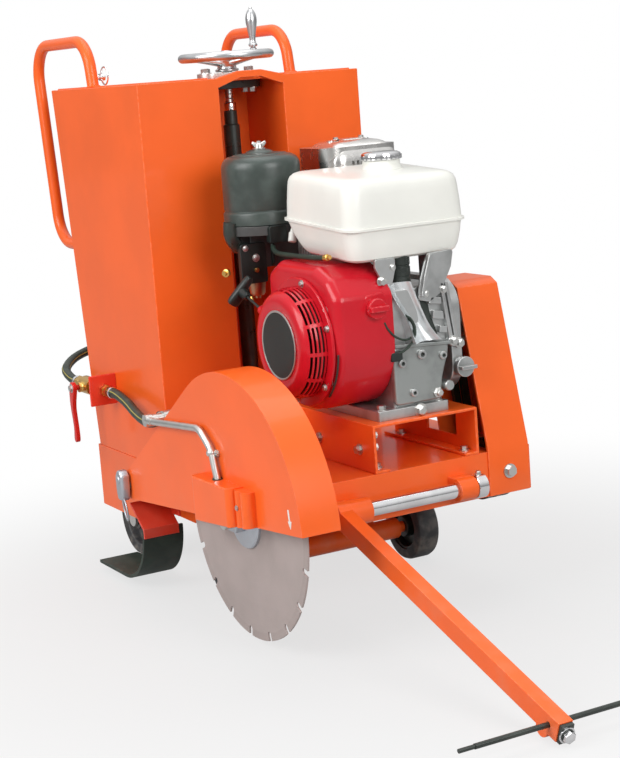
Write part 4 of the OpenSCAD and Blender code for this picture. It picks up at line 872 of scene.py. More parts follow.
def build_handwheel():
    """Polished handwheel: round rim, three dished spokes, conical hub and a turning handle."""
    parts = [hoop((*SCREW, RIM_Z), UPWARD, RIM_R, 8.5, 96, 24, 0.95)]
    for angle in SPOKES:
        a = math.radians(angle)
        out, side = Vector((math.cos(a), math.sin(a), 0)), Vector((-math.sin(a), math.cos(a), 0))
        # Reach from the axis, height, half width, half thickness
        rings = [[Vector((*SCREW, z)) + out * reach + side * w * math.cos(t) + Vector((0, 0, h * math.sin(t)))
                  for t in around(20)]
                 for reach, z, w, h in ((8, 927, 15, 7), (20, 928, 13.5, 6.4), (32, 930, 11, 5.6), (46, 932.5, 9, 5),
                                        (60, 935, 8.2, 4.8), (76, 938, 8.6, 5))]
        parts.append(loft(rings))
    parts.append(turned([(0, 911), (20, 911), (21.5, 912.5), (21.5, 915), (18, 917), (17, 920), (19, 925), (22, 930),
                         (22, 933), (19, 937), (14, 941), (9, 943), (9, 947), (7.5, 949), (0, 949)],
                        (*SCREW, 0), sides=56))
    parts.append(turned([(0, 941), (6.4, 941), (6.4, 950), (4.5, 952.4), (4.5, 953.5), (0, 953.5)],
                        (*KNOB, 0), sides=32))
    parts.append(turned([(0, 1021.8), (2.8, 1022), (2.8, 1024.6), (1.8, 1026), (0, 1026.2)], (*KNOB, 0), sides=24))
    piece("handwheel_polished", joined(*parts), "chrome", "handwheel", ("handwheel",), WHEEL_ALLOY)
    grip = [(0, 953.6), (6.8, 953.6), (8.2, 955.4), (8.2, 957.6), (6.6, 959.6), (5.6, 962.5), (5.4, 966), (6.6, 975),
            (8.8, 988), (10.4, 998), (10.4, 1006), (9.0, 1013), (6.4, 1018.4), (4.0, 1021.4), (0, 1022)]
    piece("crank_handle", turned(grip, (*KNOB, 0)), "chrome", "hand_knob", ("hand_knob",), WHEEL_ALLOY)


def build_lift_screw():
    """Depth screw with its thread and bearing, and the dark nut tube below it."""
    x, y = SCREW
    shaft = turned([(0, 700), (6.6, 700), (6.6, 882), (9.6, 884), (9.6, 898), (9, 900), (9, 944), (0, 944)],
                   (x, y, 0), sides=40)
    piece("depth_screw", shaft, "bright_steel", "handwheel", ("lift_screw",))
    thread("screw_thread", (x, y, 702), 178, 6.6, 8.0, 1.5, "bright_steel", "handwheel")
    tube = turned([(8.4, 840), (12, 840), (12, 816.5), (13.5, 815), (15, 814), (15, 196), (9.2, 195), (8.4, 196),
                   (8.4, 840)], (x, y, 0))
    eye = slab(rounded(x - 12, x + 12, 162.5, 197, 5, 4), y - 10, y + 10, 1.5, 1.5, flat_xz)
    pin = turned([(0, -31), (6, -31), (7, -30), (7, 30), (6, 31), (0, 31)], (x, y, 175.2), LEFTWARD, 32)
    piece("lifting_tube", joined(tube, eye, pin), "black_iron", "nut_tube", ("lift_tube",))
    collar = turned([(8.4, 840), (10.6, 840), (11.4, 841.4), (11.4, 853), (10.4, 855), (8.4, 855), (8.4, 840)],
                    (x, y, 0), sides=40)
    piece("tube_collar", collar, "chrome", "nut_tube")
    under = slab(rounded(x - 26, x + 26, y - 58, y + 58, 14, 5), 880, 893.8, 2.0, 0.3, flat_xy)
    piece("bearing_block", under, "black_iron", even=True)
    hex_heads("bearing_nuts", [((x, y + k, 909.6), UPWARD, 15, 9) for k in (-44, 44)])
    hex_heads("bearing_nuts_under", [((x + 14 * k, y + 42 * s, 880.4), DOWNWARD, 14, 9)
                                     for s in (-1, 1) for k in (-1, 1)])


build_frame()
build_handles()
build_console_trim()
build_handwheel()
build_lift_screw()


# ------------------------------------------------------------------ engine
def ring_of_spots(radius, y, degrees):
    """Places on a ring about the crankshaft."""
    x, z = CRANK
    return [(x + radius * math.cos(a), y, z + radius * math.sin(a)) for a in (math.radians(d) for d in degrees)]


def build_recoil():
    """Recoil cover: dished face, rows of air slots round its side, rim screws and a plain round plate."""
    x, z = CRANK
    foot = (x, RECOIL_Y, z)
    sides, sector = 180, 15
    profile = [(92, -1), (92, 4), (92, 8), (92, 11), (92, 15), (92, 18), (91.6, 22), (91, 25), (90, 29), (89, 32),
               (87.4, 36), (84.5, 40), (80, 43.6), (75, 45.4), (70, 46), (62, 45.6), (61, 45.0), (0, 45.0)]
    slots = {1, 3, 5, 7, 9}

    def keep(i, j):
        """Whether a face stays: slots in their rows, with a rib after each sector."""
        return i not in slots or (j + 4) % sector < 2

    shell = turned(profile, foot, RIGHTWARD, sides, keep)
    bmesh.ops.solidify(shell, geom=shell.faces[:], thickness=2.6)
    flange = turned([(90, -0.2), (105, -0.2), (106.5, 1.2), (106.5, 4.6), (105, 6), (94, 6.6), (90, 6.6), (90, -0.2)],
                    foot, RIGHTWARD, 120)
    bush = turned([(2.9, 10), (7.6, 10), (8, 12), (8, 30), (7, 32), (2.9, 32), (2.9, 10)], ROPE_START, ROPE_WAY, 28)
    piece("recoil_shell", joined(shell, flange, bush), "red_paint", "chassis", ("recoil_cover",))
    # Black cup inside the cover, seen through its slots: painted shade
    dark = turned([(0, 20), (86, 20), (86, 1), (87.5, 0), (87.5, 22), (0, 22)], foot, RIGHTWARD, 72)
    piece("recoil_inside_painted_shade", dark, "black_iron")
    plate = turned([(0, 45.0), (54.5, 45.0), (54.5, 46.0), (0, 46.0)], foot, RIGHTWARD, 72)
    piece("cover_plate", plate, "black_plastic")
    rim = turned([(54.0, 45.2), (57.5, 45.2), (57.5, 46.3), (56.8, 46.7), (54.7, 46.7), (54.0, 46.3), (54.0, 45.2)],
                 foot, RIGHTWARD, 96)
    piece("cover_plate_rim", rim, "bright_steel")
    hex_heads("recoil_screws", [(spot, RIGHTWARD, 8, 4.5) for spot in ring_of_spots(99.5, -124.2, range(18, 378, 60))])


SHROUD_TOP = [(441, 466), (441, 544), (414, 575), (372, 592), (250, 596), (211, 574), (211, 466)]
SHROUD_R = 115.0


def build_shroud():
    """Fan shroud: pressed cowl with a deep rounded front edge, a black line of painted shade in the groove round the
    cover, and the switch housing.
    """
    lower = [(x, z) for x, _, z in ring_of_spots(SHROUD_R, 0, [180 + 180 * k / 30 for k in range(1, 30)])]
    upper = filleted(SHROUD_TOP, [0, 22, 24, 22, 26, 22, 0], 5)
    shell = slab(upper + lower, RECOIL_Y, -12, 17, 2, flat_xz, 6)
    piece("cowl", shell, "red_paint", "chassis", ("fan_shroud",))
    # Black line in the groove round the cover: painted shade
    arcs = [ring_of_spots(109.5, -115.6, [start + (end - start) * k / 24 for k in range(25)])
            for start, end in ((20, 68), (80, 128), (-50, -6))]
    piece("cowl_groove_painted_shade", joined(*[swept(way, 1.7, 8) for way in arcs]), "black_iron")
    boss = filleted([(-70, 500), (-22, 500), (-18, 534), (-30, 548), (-66, 544)], 8, 4)
    piece("switch_housing", slab(boss, 430, 441.2, 0.5, 4.0, flat_yz), "red_paint")
    dress("engine_switch", "red_paint", 2.2, segments=3)


def case_saddle():
    """Flared foot of the cylinder on the crankcase's front, hollow between two ridges."""
    rings = []
    # Height, right edge, left edge
    for z, y0, y1 in ((556, -15, 28), (546, -12, 32), (534, -7, 37), (520, 0, 42), (506, 8, 48), (492, 13, 53),
                      (478, 16, 59), (466, 18, 66), (456, 19, 74)):
        down = (556 - z) / 100
        front = []
        for k in range(25):
            share = k / 24
            ridge = 4.2 * (math.exp(-(share / 0.10) ** 2) + math.exp(-((1 - share) / 0.10) ** 2))
            flare = 430 + 16 * down ** 3 + 4 * math.sin(math.pi * (share + 0.5 * down))
            front.append(Vector((flare + ridge - 10 * math.sin(math.pi * share) ** 1.4, y0 + (y1 - y0) * share, z)))
        rings.append(front + [Vector((420, y1 + 2, z)), Vector((420, y0 - 2, z))])
    return loft(rings)


def build_crankcase():
    """Cast crankcase: flared saddle, split line, holed bosses, ribbed flange, tank brackets and plugs."""
    body = filleted([(-12, 350), (78, 350), (83, 396), (97, 440), (97, 546), (-12, 546)], [3, 8, 14, 10, 8, 3], 5)
    rail = slab(rounded(218, 434, -48, 88, 4, 3), 335, 352, 0.8, 1.6, flat_xy)
    posts = [slab(rounded(x, x + 26, y, y + 14, 2, 3), 500, 607, 0.5, 0.5, flat_xy)
             for x in (262, 378) for y in (10, 80)]
    piece("crankcase_cast", joined(slab(body, 224, 427, 4, 5, flat_yz), rail, *posts), "cast_alloy", "chassis",
          ("crankcase",), even=True)
    dress("side_cover", "cast_alloy", 2.4, segments=3)
    # The saddle is in the brighter alloy, a painted highlight
    piece("case_saddle", case_saddle(), "cast_alloy", finish=SADDLE_ALLOY_PAINTED_HIGHLIGHT, smooth=40)
    low = filleted([(-14, 356), (74, 356), (79, 392), (92, 430), (95, 449), (20, 455), (-14, 452)], 8, 4)
    split = filleted([(-12, 451), (98, 444), (98, 450), (-12, 458)], 1.8, 3)
    # The lower front is in the darker alloy, painted shade
    piece("case_front", joined(slab(low, 424, 434.6, 0.5, 4.0, flat_yz, 5), slab(split, 428, 439, 0.5, 2.0, flat_yz)),
          "cast_alloy", finish=CASE_ALLOY_IN_PAINTED_SHADE, even=True)
    bands = [((82, 548), (89, 548), (103, 452), (95, 452)), ((93, 548), (99, 548), (113, 452), (106, 452)),
             ((58, 516), (84, 512), (84, 524), (64, 527)), ((66, 490), (88, 486), (88, 500), (68, 504)),
             ((76, 466), (92, 463), (92, 474), (78, 478))]
    flange = [slab(filleted(band, 1.8, 3), 418, 437 - 2 * (n % 2), 0.5, 1.8, flat_yz)
              for n, band in enumerate(bands)]
    piece("ribbed_flange", joined(*flange), "cast_alloy", even=True)
    # Black sheet in the hollow beside the saddle: painted shade
    hollow = filleted([(45, 534), (60, 532), (65, 500), (78, 462), (72, 458), (58, 486), (50, 508)], 3, 3)
    piece("hollow_painted_shade", slab(hollow, 424, 427.6, 0.2, 0.2, flat_yz), "black_iron")
    # Side, height and radius of each boss
    spots = ((39, 435, 8.0), (1, 425, 7.0), (80, 428, 7.0), (20, 374, 6.5))
    bosses = [turned([(0, 0), (r + 1, 0), (r, 5), (r, 9), (r - 1.2, 10.2), (r * 0.5, 10.2), (r * 0.5, 6), (0, 6)],
                     (430, y, z), FORWARD, 28) for y, z, r in spots]
    lugs = [turned([(0, 0), (9, 0), (9, 20), (7.6, 22), (0, 22)], (416, y, z), FORWARD, 28)
            for y, z in ((102, 449), (113, 444), (90, 376))]
    piece("case_bosses", joined(*bosses, *lugs), "cast_alloy")
    # Black discs at the bottom of the bosses' recesses: painted shade down the holes
    holes = [turned([(0, 0), (r * 0.5, 0), (r * 0.5, 0.6), (0, 0.6)], (436.2, y, z), FORWARD, 20)
             for y, z, r in spots]
    piece("boss_holes_painted_shade", joined(*holes), "black_iron")
    arm = filleted([(64, 598), (112, 600), (106, 572), (84, 532), (62, 518), (40, 524), (45, 556), (54, 582)], 5, 4)
    rib = filleted([(61, 597), (67, 597), (57, 560), (47, 528), (42, 530), (49, 562)], 1.5, 3)
    piece("tank_bracket", joined(slab(arm, 432, 437, 1.0, 1.4, flat_yz), slab(rib, 435, 444, 0.5, 1.5, flat_yz)),
          "cast_alloy", even=True)
    plate = filleted([(-34, 598), (4, 598), (4, 580), (-4, 553), (-20, 556), (-34, 584)], 4, 4)
    piece("tank_lug", slab(plate, 424, 430, 0.8, 1.2, flat_yz), "cast_alloy", even=True)
    coil = turned([(0, 546), (17, 546), (18, 548), (18, 560), (17, 561), (17, 564), (18, 565), (18, 578), (17, 579),
                   (17, 582), (18, 583), (18, 604), (0, 604)], (408, 24, 0), sides=40)
    piece("dark_coil", coil, "black_iron")
    clip = slab(rounded(-20, 2, 430, 446, 3, 3), 428, 439, 0.5, 2.0, flat_yz)
    piece("lead_clip", clip, "black_plastic", even=True)
    hex_heads("case_screws", [((x, y, z), FORWARD, wide, tall) for x, y, z, wide, tall in (
        (430, -24, 562, 11, 7), (430, -2, 582, 8, 4), (437, 54, 533, 8, 4), (437, 88, 536, 9, 6),
        (438, 102, 449, 11, 7), (438, 113, 444, 11, 7), (434, 32, 343, 15, 9))])
    hex_heads("engine_screws", [((x, y, 352), UPWARD, 13, 8) for x in (234, 420) for y in (-34, 74)]
              + [(spot, RIGHTWARD, 9, 6) for spot in ring_of_spots(101, RECOIL_Y, (35, 145, 215, 325))],
              nodes=("engine_bolts",))
    plug = turned([(0, 0), (9, 0), (9, 4), (6, 5), (6, 11), (4.5, 12.5), (0, 12.5)], (434, 66, 368), FORWARD, 6)
    piece("drain_plug", plug, "bright_steel", smooth=20)
    dress("oil_cap", "cast_alloy", 2.0, segments=3)
    dress("cylinder_head", "cast_alloy", 0.9)


# Fall of the tank from its rear to its front, place of its cap, and the cap's grip
TANK_LEAN, TANK_CAP, GRIP_R, GRIP_BARS = 15.0, (313, 60.5), 33.6, 24


def build_tank():
    """Pressed fuel tank: tapered bottom, seam flange, drafted sides and a crowned top, with its cap."""
    x0, x1, y0, y1 = 208.0, 438.0, -85.0, 150.0
    # Height, draw-in of the rear, front, right and left sides, corner radius
    levels = [(607.3, 66, 22, 24, 30, 16), (609, 60, 15, 17, 23, 20), (613, 52, 10, 12, 18, 22),
              (622, 38, 7.5, 9, 13, 24), (640, 18, 5.5, 6.5, 8, 26), (655, 7, 4.5, 5, 5, 28), (659, 4.5, 4, 4, 4, 28)]
    # From the seam upward all four sides are drawn in alike
    levels += [(z, inset, inset, inset, inset, r) for z, inset, r in (
        (659.8, 0.4, 28), (663.6, 0.4, 28), (664.4, 3.6, 28), (690, 5, 27), (716, 7.2, 26), (726, 8.8, 25),
        (732.5, 11.6, 24), (737, 16.5, 22), (739.6, 24, 18), (740.6, 38, 12), (741, 64, 8))]
    rings = []
    for z, rear, front, right, left, r in levels:
        outline = rounded(x0 + rear, x1 - front, y0 + right, y1 - left, r, 8)
        rings.append([Vector((x, y, z - TANK_LEAN * (x - x0) / (x1 - x0))) for x, y in outline])
    piece("tank_shell", loft(rings), "tank_paint", "chassis", ("fuel_tank",))
    x, y = TANK_CAP
    foot = (x, y, 0)
    neck = turned([(20, 724), (37, 724), (36, 732), (33, 737), (31.5, 741), (31.5, 746.5), (30, 748), (20, 748),
                   (20, 724)], foot, sides=56)
    piece("filler_neck", neck, "tank_paint")
    cap = [(0, 742), (22, 742), (22, 748.3), (33.4, 748.3), (34, 750), (34, 755), (32.6, 758.6), (28, 761), (20, 762),
           (0, 762)]
    piece("tank_cap", turned(cap, foot, sides=56), "chrome", "fuel_cap", ("fuel_cap",))
    knurl = seed_points([(x + GRIP_R * math.cos(a), y + GRIP_R * math.sin(a), 752.6)
                         for a in around(GRIP_BARS)])
    p = Pattern("cap_grip", Radius=1.6 * MM, Tall=7.0 * MM)
    bar = p.node("GeometryNodeMeshCylinder", {"Vertices": 8, "Radius": p.size("Radius"), "Depth": p.size("Tall")})
    p.run(p.scatter(bar), knurl, "cap_grip", "chrome", "fuel_cap")


def build_air_cleaner():
    """Black air cleaner can with band and wing nut, over the carburettor and its bowl."""
    foot = (118, -65, 648)
    can = [(0, 0.5), (66, 0.5), (70, 1.5), (70, 20), (69.2, 22.4), (67.4, 24), (67.2, 26), (68.5, 28.5), (68.5, 96),
           (67.8, 103), (65.4, 109), (61.4, 113.6), (56, 116.6), (50, 118), (47, 118.4), (45.4, 120), (30, 121.4),
           (24, 122), (22, 124.4), (13, 127.4), (0, 128)]
    piece("air_can", turned(can, foot, sides=80), "black_plastic", "chassis", ("air_cover",), CAN_BLACK)
    nut = turned([(0, 128), (11, 128), (11, 129.4), (7, 130), (6.4, 136), (4, 138), (4, 141.5), (0, 142)],
                 foot, sides=32)
    wings = []
    for side in (RIGHT, LEFT):
        outline = filleted([(side * u, v) for u, v in ((3, 779), (3, 786), (12.5, 789.5), (14, 785), (9, 779))], 1.6, 3)
        wings.append(slab([(u + foot[1], v) for u, v in outline], 116.2, 119.8, 0.9, 0.9, flat_yz, 3))
    piece("wing_nut_cast", joined(nut, *wings), "bright_steel", "chassis", ("wing_nut",))
    dress("carburettor", "carburettor_alloy", 1.6)
    bowl = turned([(0, 519), (4.5, 519), (5.5, 523), (10.5, 524), (13.5, 528), (14.6, 540), (15.4, 552), (18, 554),
                   (18, 562), (0, 562)], (116, -88, 0), sides=40)
    piece("float_bowl", bowl, "brass", finish=BOWL_COPPER)
    bits = [turned([(0, 0), (7, 0), (7, 5), (4, 6), (4, 11), (0, 11)], (128, -150, 571), (0.5, -0.8, 0), 20),
            turned([(0, 0), (4, 0), (4, 4), (0, 5)], (141, -100, 571), FORWARD, 18),
            turned([(0, 0), (3.4, 0), (3.4, 7), (2, 8), (0, 8)], (108, -96, 521), (0.3, -0.3, -1), 16)]
    piece("carburettor_jets", joined(*bits), "brass")
    plates = [slab(rounded(84, 140, 574, 640, 8, 4), -66, -61, 0.8, 0.8, flat_xz),
              slab(rounded(-128, -78, 548, 618, 6, 4), 130, 141, 1.2, 1.2, flat_yz),
              slab(rounded(-124, -70, 600, 650, 6, 4), 100, 132, 1.2, 1.2, flat_yz),
              slab(rounded(-94, -60, 618, 648, 5, 4), 176, 190, 1.2, 1.2, flat_yz),
              slab(rounded(98, 170, -100, -58, 8, 4), 636, 646, 0.8, 0.8, flat_xy)]
    piece("carburettor_plates", joined(*plates), "black_plastic", even=True)
    hex_heads("carburettor_screws", [((141, -99, 592), FORWARD, 9, 4), ((141, -118, 610), FORWARD, 7, 3)],
              sides=16)
    duct = smooth_way([(128, -136, 656), (127, -137, 644), (126, -135, 630), (122, -124, 616), (118, -106, 610)], 5)
    piece("intake_duct", swept(duct, 12.5, 20), "black_iron")
    link = smooth_way([THROTTLE_SLEEVE[0], (176, -86, 624), (170, -80, 636)], 5)
    piece("choke_link", swept(link, 2.6, 10), "black_iron")
    cock = turned([(0, 0), (5, 0), (7, 1), (7, 16), (5, 18), (4, 24), (0, 24)], (204, -60, 618), (-0.2, 0.3, 1), 24)
    piece("fuel_cock", cock, "tank_paint")
    end = turned([(0, 0), (5.6, 0), (5.6, 8), (3.6, 9), (3.6, 14), (0, 14)],
                 (374, -93.2, 604.8), (0.98, 0.1, 0.1), 18)
    piece("sleeve_end", end, "brass")


def build_muffler():
    """Muffler inside a bright slotted guard with sloping shoulders."""
    coat("muffler", "muffler_steel")
    x0, x1, y0, y1 = 41.5, 171.5, 52.0, 189.0
    # Height and draw-in of each ring
    levels = [(681, 0), (700, 0), (722, 0), (742, 0.4), (748, 1.2), (754, 3), (760, 6.4), (766, 11.5), (771, 18),
              (774.4, 26), (776.4, 36), (776.8, 44), (776.8, 46), (778, 47.4), (779, 50)]
    # Corner radius, steps round a corner and along a side, and the row of faces that has the slots
    corner, steps, straight, slot_row = 22.0, 5, 20, 2
    rings = []
    for z, inset in levels:
        outline = rounded(x0 + inset, x1 - inset, y0 + inset, y1 - inset, max(corner - inset * 0.35, 6), steps)
        rings.append([])
        for n, ((ax, ay), (bx, by)) in enumerate(zip(outline, outline[1:] + outline[:1]), 1):
            cuts = 1 if n % (steps + 1) else straight
            rings[-1] += [Vector((ax + (bx - ax) * k / cuts, ay + (by - ay) * k / cuts, z)) for k in range(cuts)]
    per_side = steps + straight

    def keep(i, j):
        """Whether a face stays: every other one of a side is a slot."""
        along = j % per_side - steps
        return not (i == slot_row and along % 2 == 1 and 1 < along < straight - 1)

    shell = loft(rings, (False, True), keep)
    bmesh.ops.solidify(shell, geom=shell.faces[:], thickness=1.6)
    studs = [turned([(0, 768), (5.6, 768), (5.6, 777.4), (0, 777.4)], (106, y, 0), sides=20) for y in (84, 156)]
    piece("muffler_cage", joined(shell, *studs), "muffler_steel", "chassis", ("muffler_guard",))
    hex_heads("cage_screws", [((106, y, 778.6), UPWARD, 8, 4) for y in (95, 147)])


def build_recoil_grip():
    """Starter rope with its moulded paddle grip."""
    start, way = ROPE_START, ROPE_WAY
    rope = swept([start - way * 36, start + way * 40, start + way * 90], 2.4, 10)
    stem = turned([(0, 82), (4, 82), (7.4, 86), (7.8, 92), (8.4, 98), (8.8, 104), (0, 104)], start, way, 28)
    middle = start + way * 107
    down = Vector((-0.287, -0.534, -0.797)).normalized()
    broad = down.cross(way).normalized()
    thin = broad.cross(down)
    # Reach along the grip, half width, half thickness
    sections = [(-29, 3.0, 3.0), (-28, 5.6, 5.2), (-24, 7.6, 6.6), (-12, 8.8, 7.6), (0, 10.0, 8.0), (12, 11.2, 7.8),
                (21, 11.6, 7.2), (26, 10.4, 6.2), (28.4, 7.6, 4.6), (29, 4.0, 2.6)]
    rings = [[middle + down * t + broad * w * math.copysign(abs(math.cos(a)) ** 0.7, math.cos(a))
              + thin * h * math.copysign(abs(math.sin(a)) ** 0.8, math.sin(a))
              for a in around(28)] for t, w, h in sections]
    piece("starter_grip", joined(rope, stem, loft(rings)), "black_plastic", "recoil_grip", ("recoil_grip",))


build_recoil()
build_shroud()
build_crankcase()
build_tank()
build_air_cleaner()
build_muffler()
build_recoil_grip()


# ------------------------------------------------------------------ blade, guard, water and pointer
def build_blade():
    """Slotted blade and its domed clamping flange with the nut."""
    dress("blade", "blade_steel", 0.35)
    foot = (BLADE[0], BLADE_Y, BLADE[1])
    flange = turned([(13, 0), (50, 0), (50, 4), (48.5, 6), (42, 8), (30, 9.4), (26, 10), (13, 10), (13, 0)],
                    foot, RIGHTWARD, 64)
    nut = turned([(12.7, 9.5), (21.5, 9.5), (22, 10.4), (22, 26), (20.5, 28), (12.7, 28), (12.7, 9.5)],
                 foot, RIGHTWARD, 6)
    piece("clamp_flange", joined(flange, nut), "bright_steel", "spindle", ("blade_flange",), FLANGE_STEEL, smooth=25)


def build_guard_trim():
    """Spray pipe with its clip and grommet, a rivet and the direction mark on the blade guard."""
    pipe_y = GUARD_Y - 8
    way = bent([(117, pipe_y, 335), (312, pipe_y, 351), (352, pipe_y, 322), (366, pipe_y, 276)], 36, 10)
    pipe = swept(way, 6, 18)
    clip = [slab(rounded(338, 366, 312, 322, 3, 3), -307.0, -303.8, 0.6, 0.4, flat_xz),
            hoop((351.5, pipe_y, 317), (0.29, 0, -0.95), 7.0, 1.4, 32, 8, 3.0)]
    piece("spray_pipe", joined(pipe, *clip), "bright_steel", "blade_guard", ("guard_pipe",))
    hex_heads("pipe_clip_screw", [((362, -306.8, 317), RIGHTWARD, 7, 3)], body="blade_guard")
    arrow = filleted([(583.5, 266), (588, 266), (590, 249), (594, 249.5), (590.5, 236), (582.5, 248), (586, 248.4)],
                     0.5, 2)
    piece("direction_mark", slab(arrow, -304.5, -303.9, 0.05, 0.02, flat_xz, 2), "tank_paint", "blade_guard",
          finish=WHITE_MARK)
    hex_heads("guard_rivets", [((450, -322.8, 247), RIGHTWARD, 6, 2.2)], body="blade_guard", sides=18)
    grommet = hoop((366, pipe_y, 276.6), (0.3, 0, 1), 6.4, 2.0, 32, 10)
    piece("pipe_grommet", grommet, "black_rubber", "blade_guard")


def tapered(line, halves):
    """Outline round a flat line of points with a half width at each, blunt at both ends."""
    right, left = [], []
    for k, (point, half) in enumerate(zip(line, halves)):
        before, after = Vector(line[max(k - 1, 0)]), Vector(line[min(k + 1, len(line) - 1)])
        run = (after - before).normalized()
        right.append((point[0] + run.y * half, point[1] - run.x * half))
        left.append((point[0] - run.y * half, point[1] + run.x * half))
    return right + left[::-1]


# Axle of the valve's lever, as (x, z)
LEVER = (-296, 338)


def build_water():
    """Brass ball valve with hose clips, curved red lever, lynch pin and the rubber splash flap."""
    dress("water_valve", "brass", 1.2)
    x, z = LEVER
    body = body_of(frame["nodes"]["valve_lever"])[0]
    # Place along the lever, half width, height
    route = smooth_way([(-294, 2.2, 348.6), (-294.6, 6.8, 346.6), (-295.4, 9.8, 342), (-297, 10.6, 336),
                        (-300.6, 9.8, 325), (-303.6, 7.6, 311), (-304, 5.6, 296), (-301.4, 4.8, 280),
                        (-299, 4.6, 264), (-298.4, 5.4, 252), (-299, 6.4, 243), (-299.6, 6.0, 237),
                        (-300, 3.6, 233.4), (-300.2, 1.0, 232)])
    outline = tapered([(p.x, p.z) for p in route], [p.y for p in route])
    pin = turned([(0, 0), (5, 0), (5, 25), (0, 25)], (x, -288, z), LEFTWARD, 28)
    piece("curved_lever", joined(slab(outline, -294, -286, 0.9, 0.9, flat_xz), pin), "red_paint", body,
          ("valve_lever",), LEVER_RED)
    hex_heads("lever_nut", [((x, -294, z), RIGHTWARD, 11, 5)], body=body)
    clips = [hoop(place, way, HOSE_R + 0.9, 1.1, 40, 10, 4.0) for place, way in
             (((-360, -256, 338.4), (1, 0, -0.05)), ((-184, -256, 337.9), (1, 0, -0.02)))]
    piece("hose_clips", joined(*clips), "chrome")
    x, z = GUARD_HINGE
    head = filleted([(x + u, z + v) for u, v in ((-10, -26), (9, -26), (14, -4), (14, 20), (6, 29), (-7, 29), (-14, 18),
                                                 (-14, -6))], 7, 5)
    dent = turned([(0, 0), (6.5, 0), (7.5, 1.2), (7.5, 3), (0, 3)], (x, -325.4, z + 12), LEFTWARD, 28)
    shank = turned([(0, 0), (7, 0), (7, 85), (6, 86), (0, 86)], (x, -318, z), LEFTWARD, 32)
    ring = hoop((x + 5, -316, z - 42), (0.25, 1, 0.1), 20, 1.9, 48, 10)
    piece("lynch_pin", joined(slab(head, -324, -306.5, 5.5, 3, flat_xz, 5), dent, shank, ring), "chrome", "chassis",
          ("guard_pin",), FLANGE_STEEL)
    dress("rubber_flap", "black_rubber", 0.8)


def build_pointer():
    """Chrome pivot rod with its collar, and the bolt of the pointer's clamp."""
    x, z = PIVOT
    foot = (x, 0, z)
    rod = turned([(0, -198), (11, -198), (12.5, -196.4), (12.5, 122.4), (11, 124), (0, 124)], foot, LEFTWARD)
    collar = turned([(12, 101), (19, 101), (20, 102), (20, 119), (19, 120), (12, 120), (12, 101)], foot, LEFTWARD)
    piece("pivot_bar", joined(rod, collar), "chrome", "chassis", ("pivot_rod",))
    hex_heads("collar_screw", [((x, 110.5, z + 19.8), (0.2, 0, 1), 8, 6)])
    hex_heads("clamp_bolt", [((1043.2, -153, 17.3), (0.9494, 0, -0.314), 16, 9.4)], "chrome", "pointer")


FRONT_AXLE, WHEEL_SIDE = (134, 62), 184.0


def build_wheels():
    """Front tyres with a rounded tread on dark hubs, and rear wheels of solid rubber."""
    for side, tag in ((RIGHT, "right"), (LEFT, "left")):
        tread = [(42.3, -22), (56, -22), (60, -20), (62, -15), (62, 15), (60, 20), (56, 22), (42.3, 22), (42.3, -22)]
        middle = (FRONT_AXLE[0], side * WHEEL_SIDE, FRONT_AXLE[1])
        piece("tyre_" + tag, turned(tread, middle, LEFTWARD, 64), "wheel_rubber", "front_wheel_" + tag,
              ("front_tyre_" + tag,))
        dress("front_hub_" + tag, "black_iron", 1.2)
        dress("rear_wheel_" + tag, "wheel_rubber", 2.4, segments=3)


build_blade()
build_guard_trim()
build_water()
build_pointer()
build_wheels()


# ------------------------------------------------------------------ light and floor
def light(name, place, aim, size, power):
    """Soft four-sided lamp turned to its aim."""
    lamp = bpy.data.lights.new(name, "AREA")
    lamp.shape, lamp.size, lamp.size_y, lamp.energy = "RECTANGLE", size[0], size[1], power
    stand = linked(name, lamp)
    stand.location = place
    stand.rotation_euler = (Vector(aim) - Vector(place)).to_track_quat("-Z", "Y").to_euler()


def ray_kind(nodes, label):
    """One for rays of a kind, nought for the rest."""
    return nodes.node("ShaderNodeLightPath", output="Is " + label + " Ray")


# Name, place, height of the aim, size and power of each lamp
LAMPS = (("key", (0.3, -3.0, 2.2), 0.45, (2.2, 2.0), 85), ("front", (3.2, 0.3, 1.9), 0.4, (1.8, 1.8), 63),
         ("top", (-0.2, 0.2, 3.3), 0.3, (2.4, 2.4), 34))
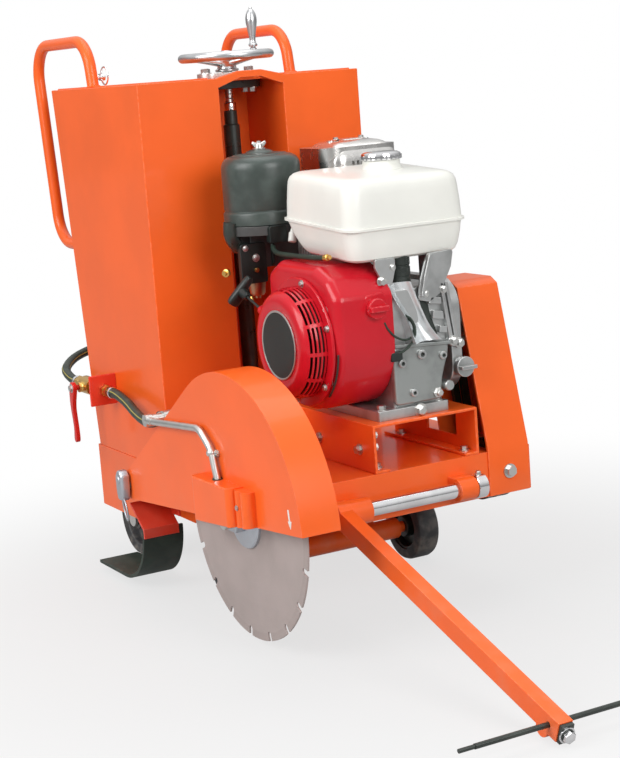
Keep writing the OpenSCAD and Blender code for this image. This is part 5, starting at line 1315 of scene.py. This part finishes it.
# Strength of the surround as light, and of what mirrors see of it from low to high
SURROUND, MIRROR_LOW, MIRROR_HIGH = 0.38, 0.20, 1.0
FLOOR_SIZE, FLOOR_DROP = 14.0, 0.0005
WHITE = (1, 1, 1, 1)


def build_surround():
    """Pale surround that darkens toward the floor in mirrors, and is white where the camera sees it."""
    world = bpy.data.worlds.new("surround")
    bpy.context.scene.world = world
    world.use_nodes = True
    n = Nodes(world.node_tree)
    rise = n.part(n.node("ShaderNodeTexCoord", output="Generated"), 2)
    sky = n.ramp(rise, -0.15, 0.8, MIRROR_LOW, MIRROR_HIGH)
    plain = ray_kind(n, "Glossy") * (sky - SURROUND) + SURROUND
    shown = n.node("ShaderNodeMath", {0: ray_kind(n, "Camera"), 1: ray_kind(n, "Transmission")}, operation="MAXIMUM")
    glow = n.node("ShaderNodeBackground", {"Color": WHITE, "Strength": plain + shown * (1 - plain)})
    end = n.tree.nodes.new("ShaderNodeOutputWorld")
    n.tree.links.new(glow.socket, end.inputs[0])


def build_floor():
    """Pale floor that takes soft shadows and fades to white away from the machine."""
    floor = bmesh.new()
    bmesh.ops.create_grid(floor, x_segments=8, y_segments=8, size=FLOOR_SIZE)
    f = Finish("floor")
    tone = f.mix(f.noise(3, 3), (0.42, 0.42, 0.42), (0.45, 0.45, 0.45))
    f.set(Base_Color=tone, Roughness=0.85)
    away = f.reach(f.part(f.place, 0), f.part(f.place, 1))
    white = f.node("ShaderNodeEmission", {"Color": WHITE, "Strength": 1.0})
    share = ray_kind(f, "Camera") * f.ramp(away, 0.4, 1.4, 0.70, 1.0) + ray_kind(f, "Glossy") * 0.25
    blend = f.node("ShaderNodeMixShader", {0: share, 1: Value(f, f.shader.outputs[0]), 2: white})
    f.tree.links.new(blend.socket, f.end.inputs[0])
    ground = linked("floor", settled(floor, "floor"))
    ground.data.materials.append(f.material)
    ground.location.z = -FLOOR_DROP


for label, place, aim_z, size, power in LAMPS:
    light(label, place, (0.0, 0.0, aim_z), size, power)
build_surround()
build_floor()

bpy.context.view_layer.update()
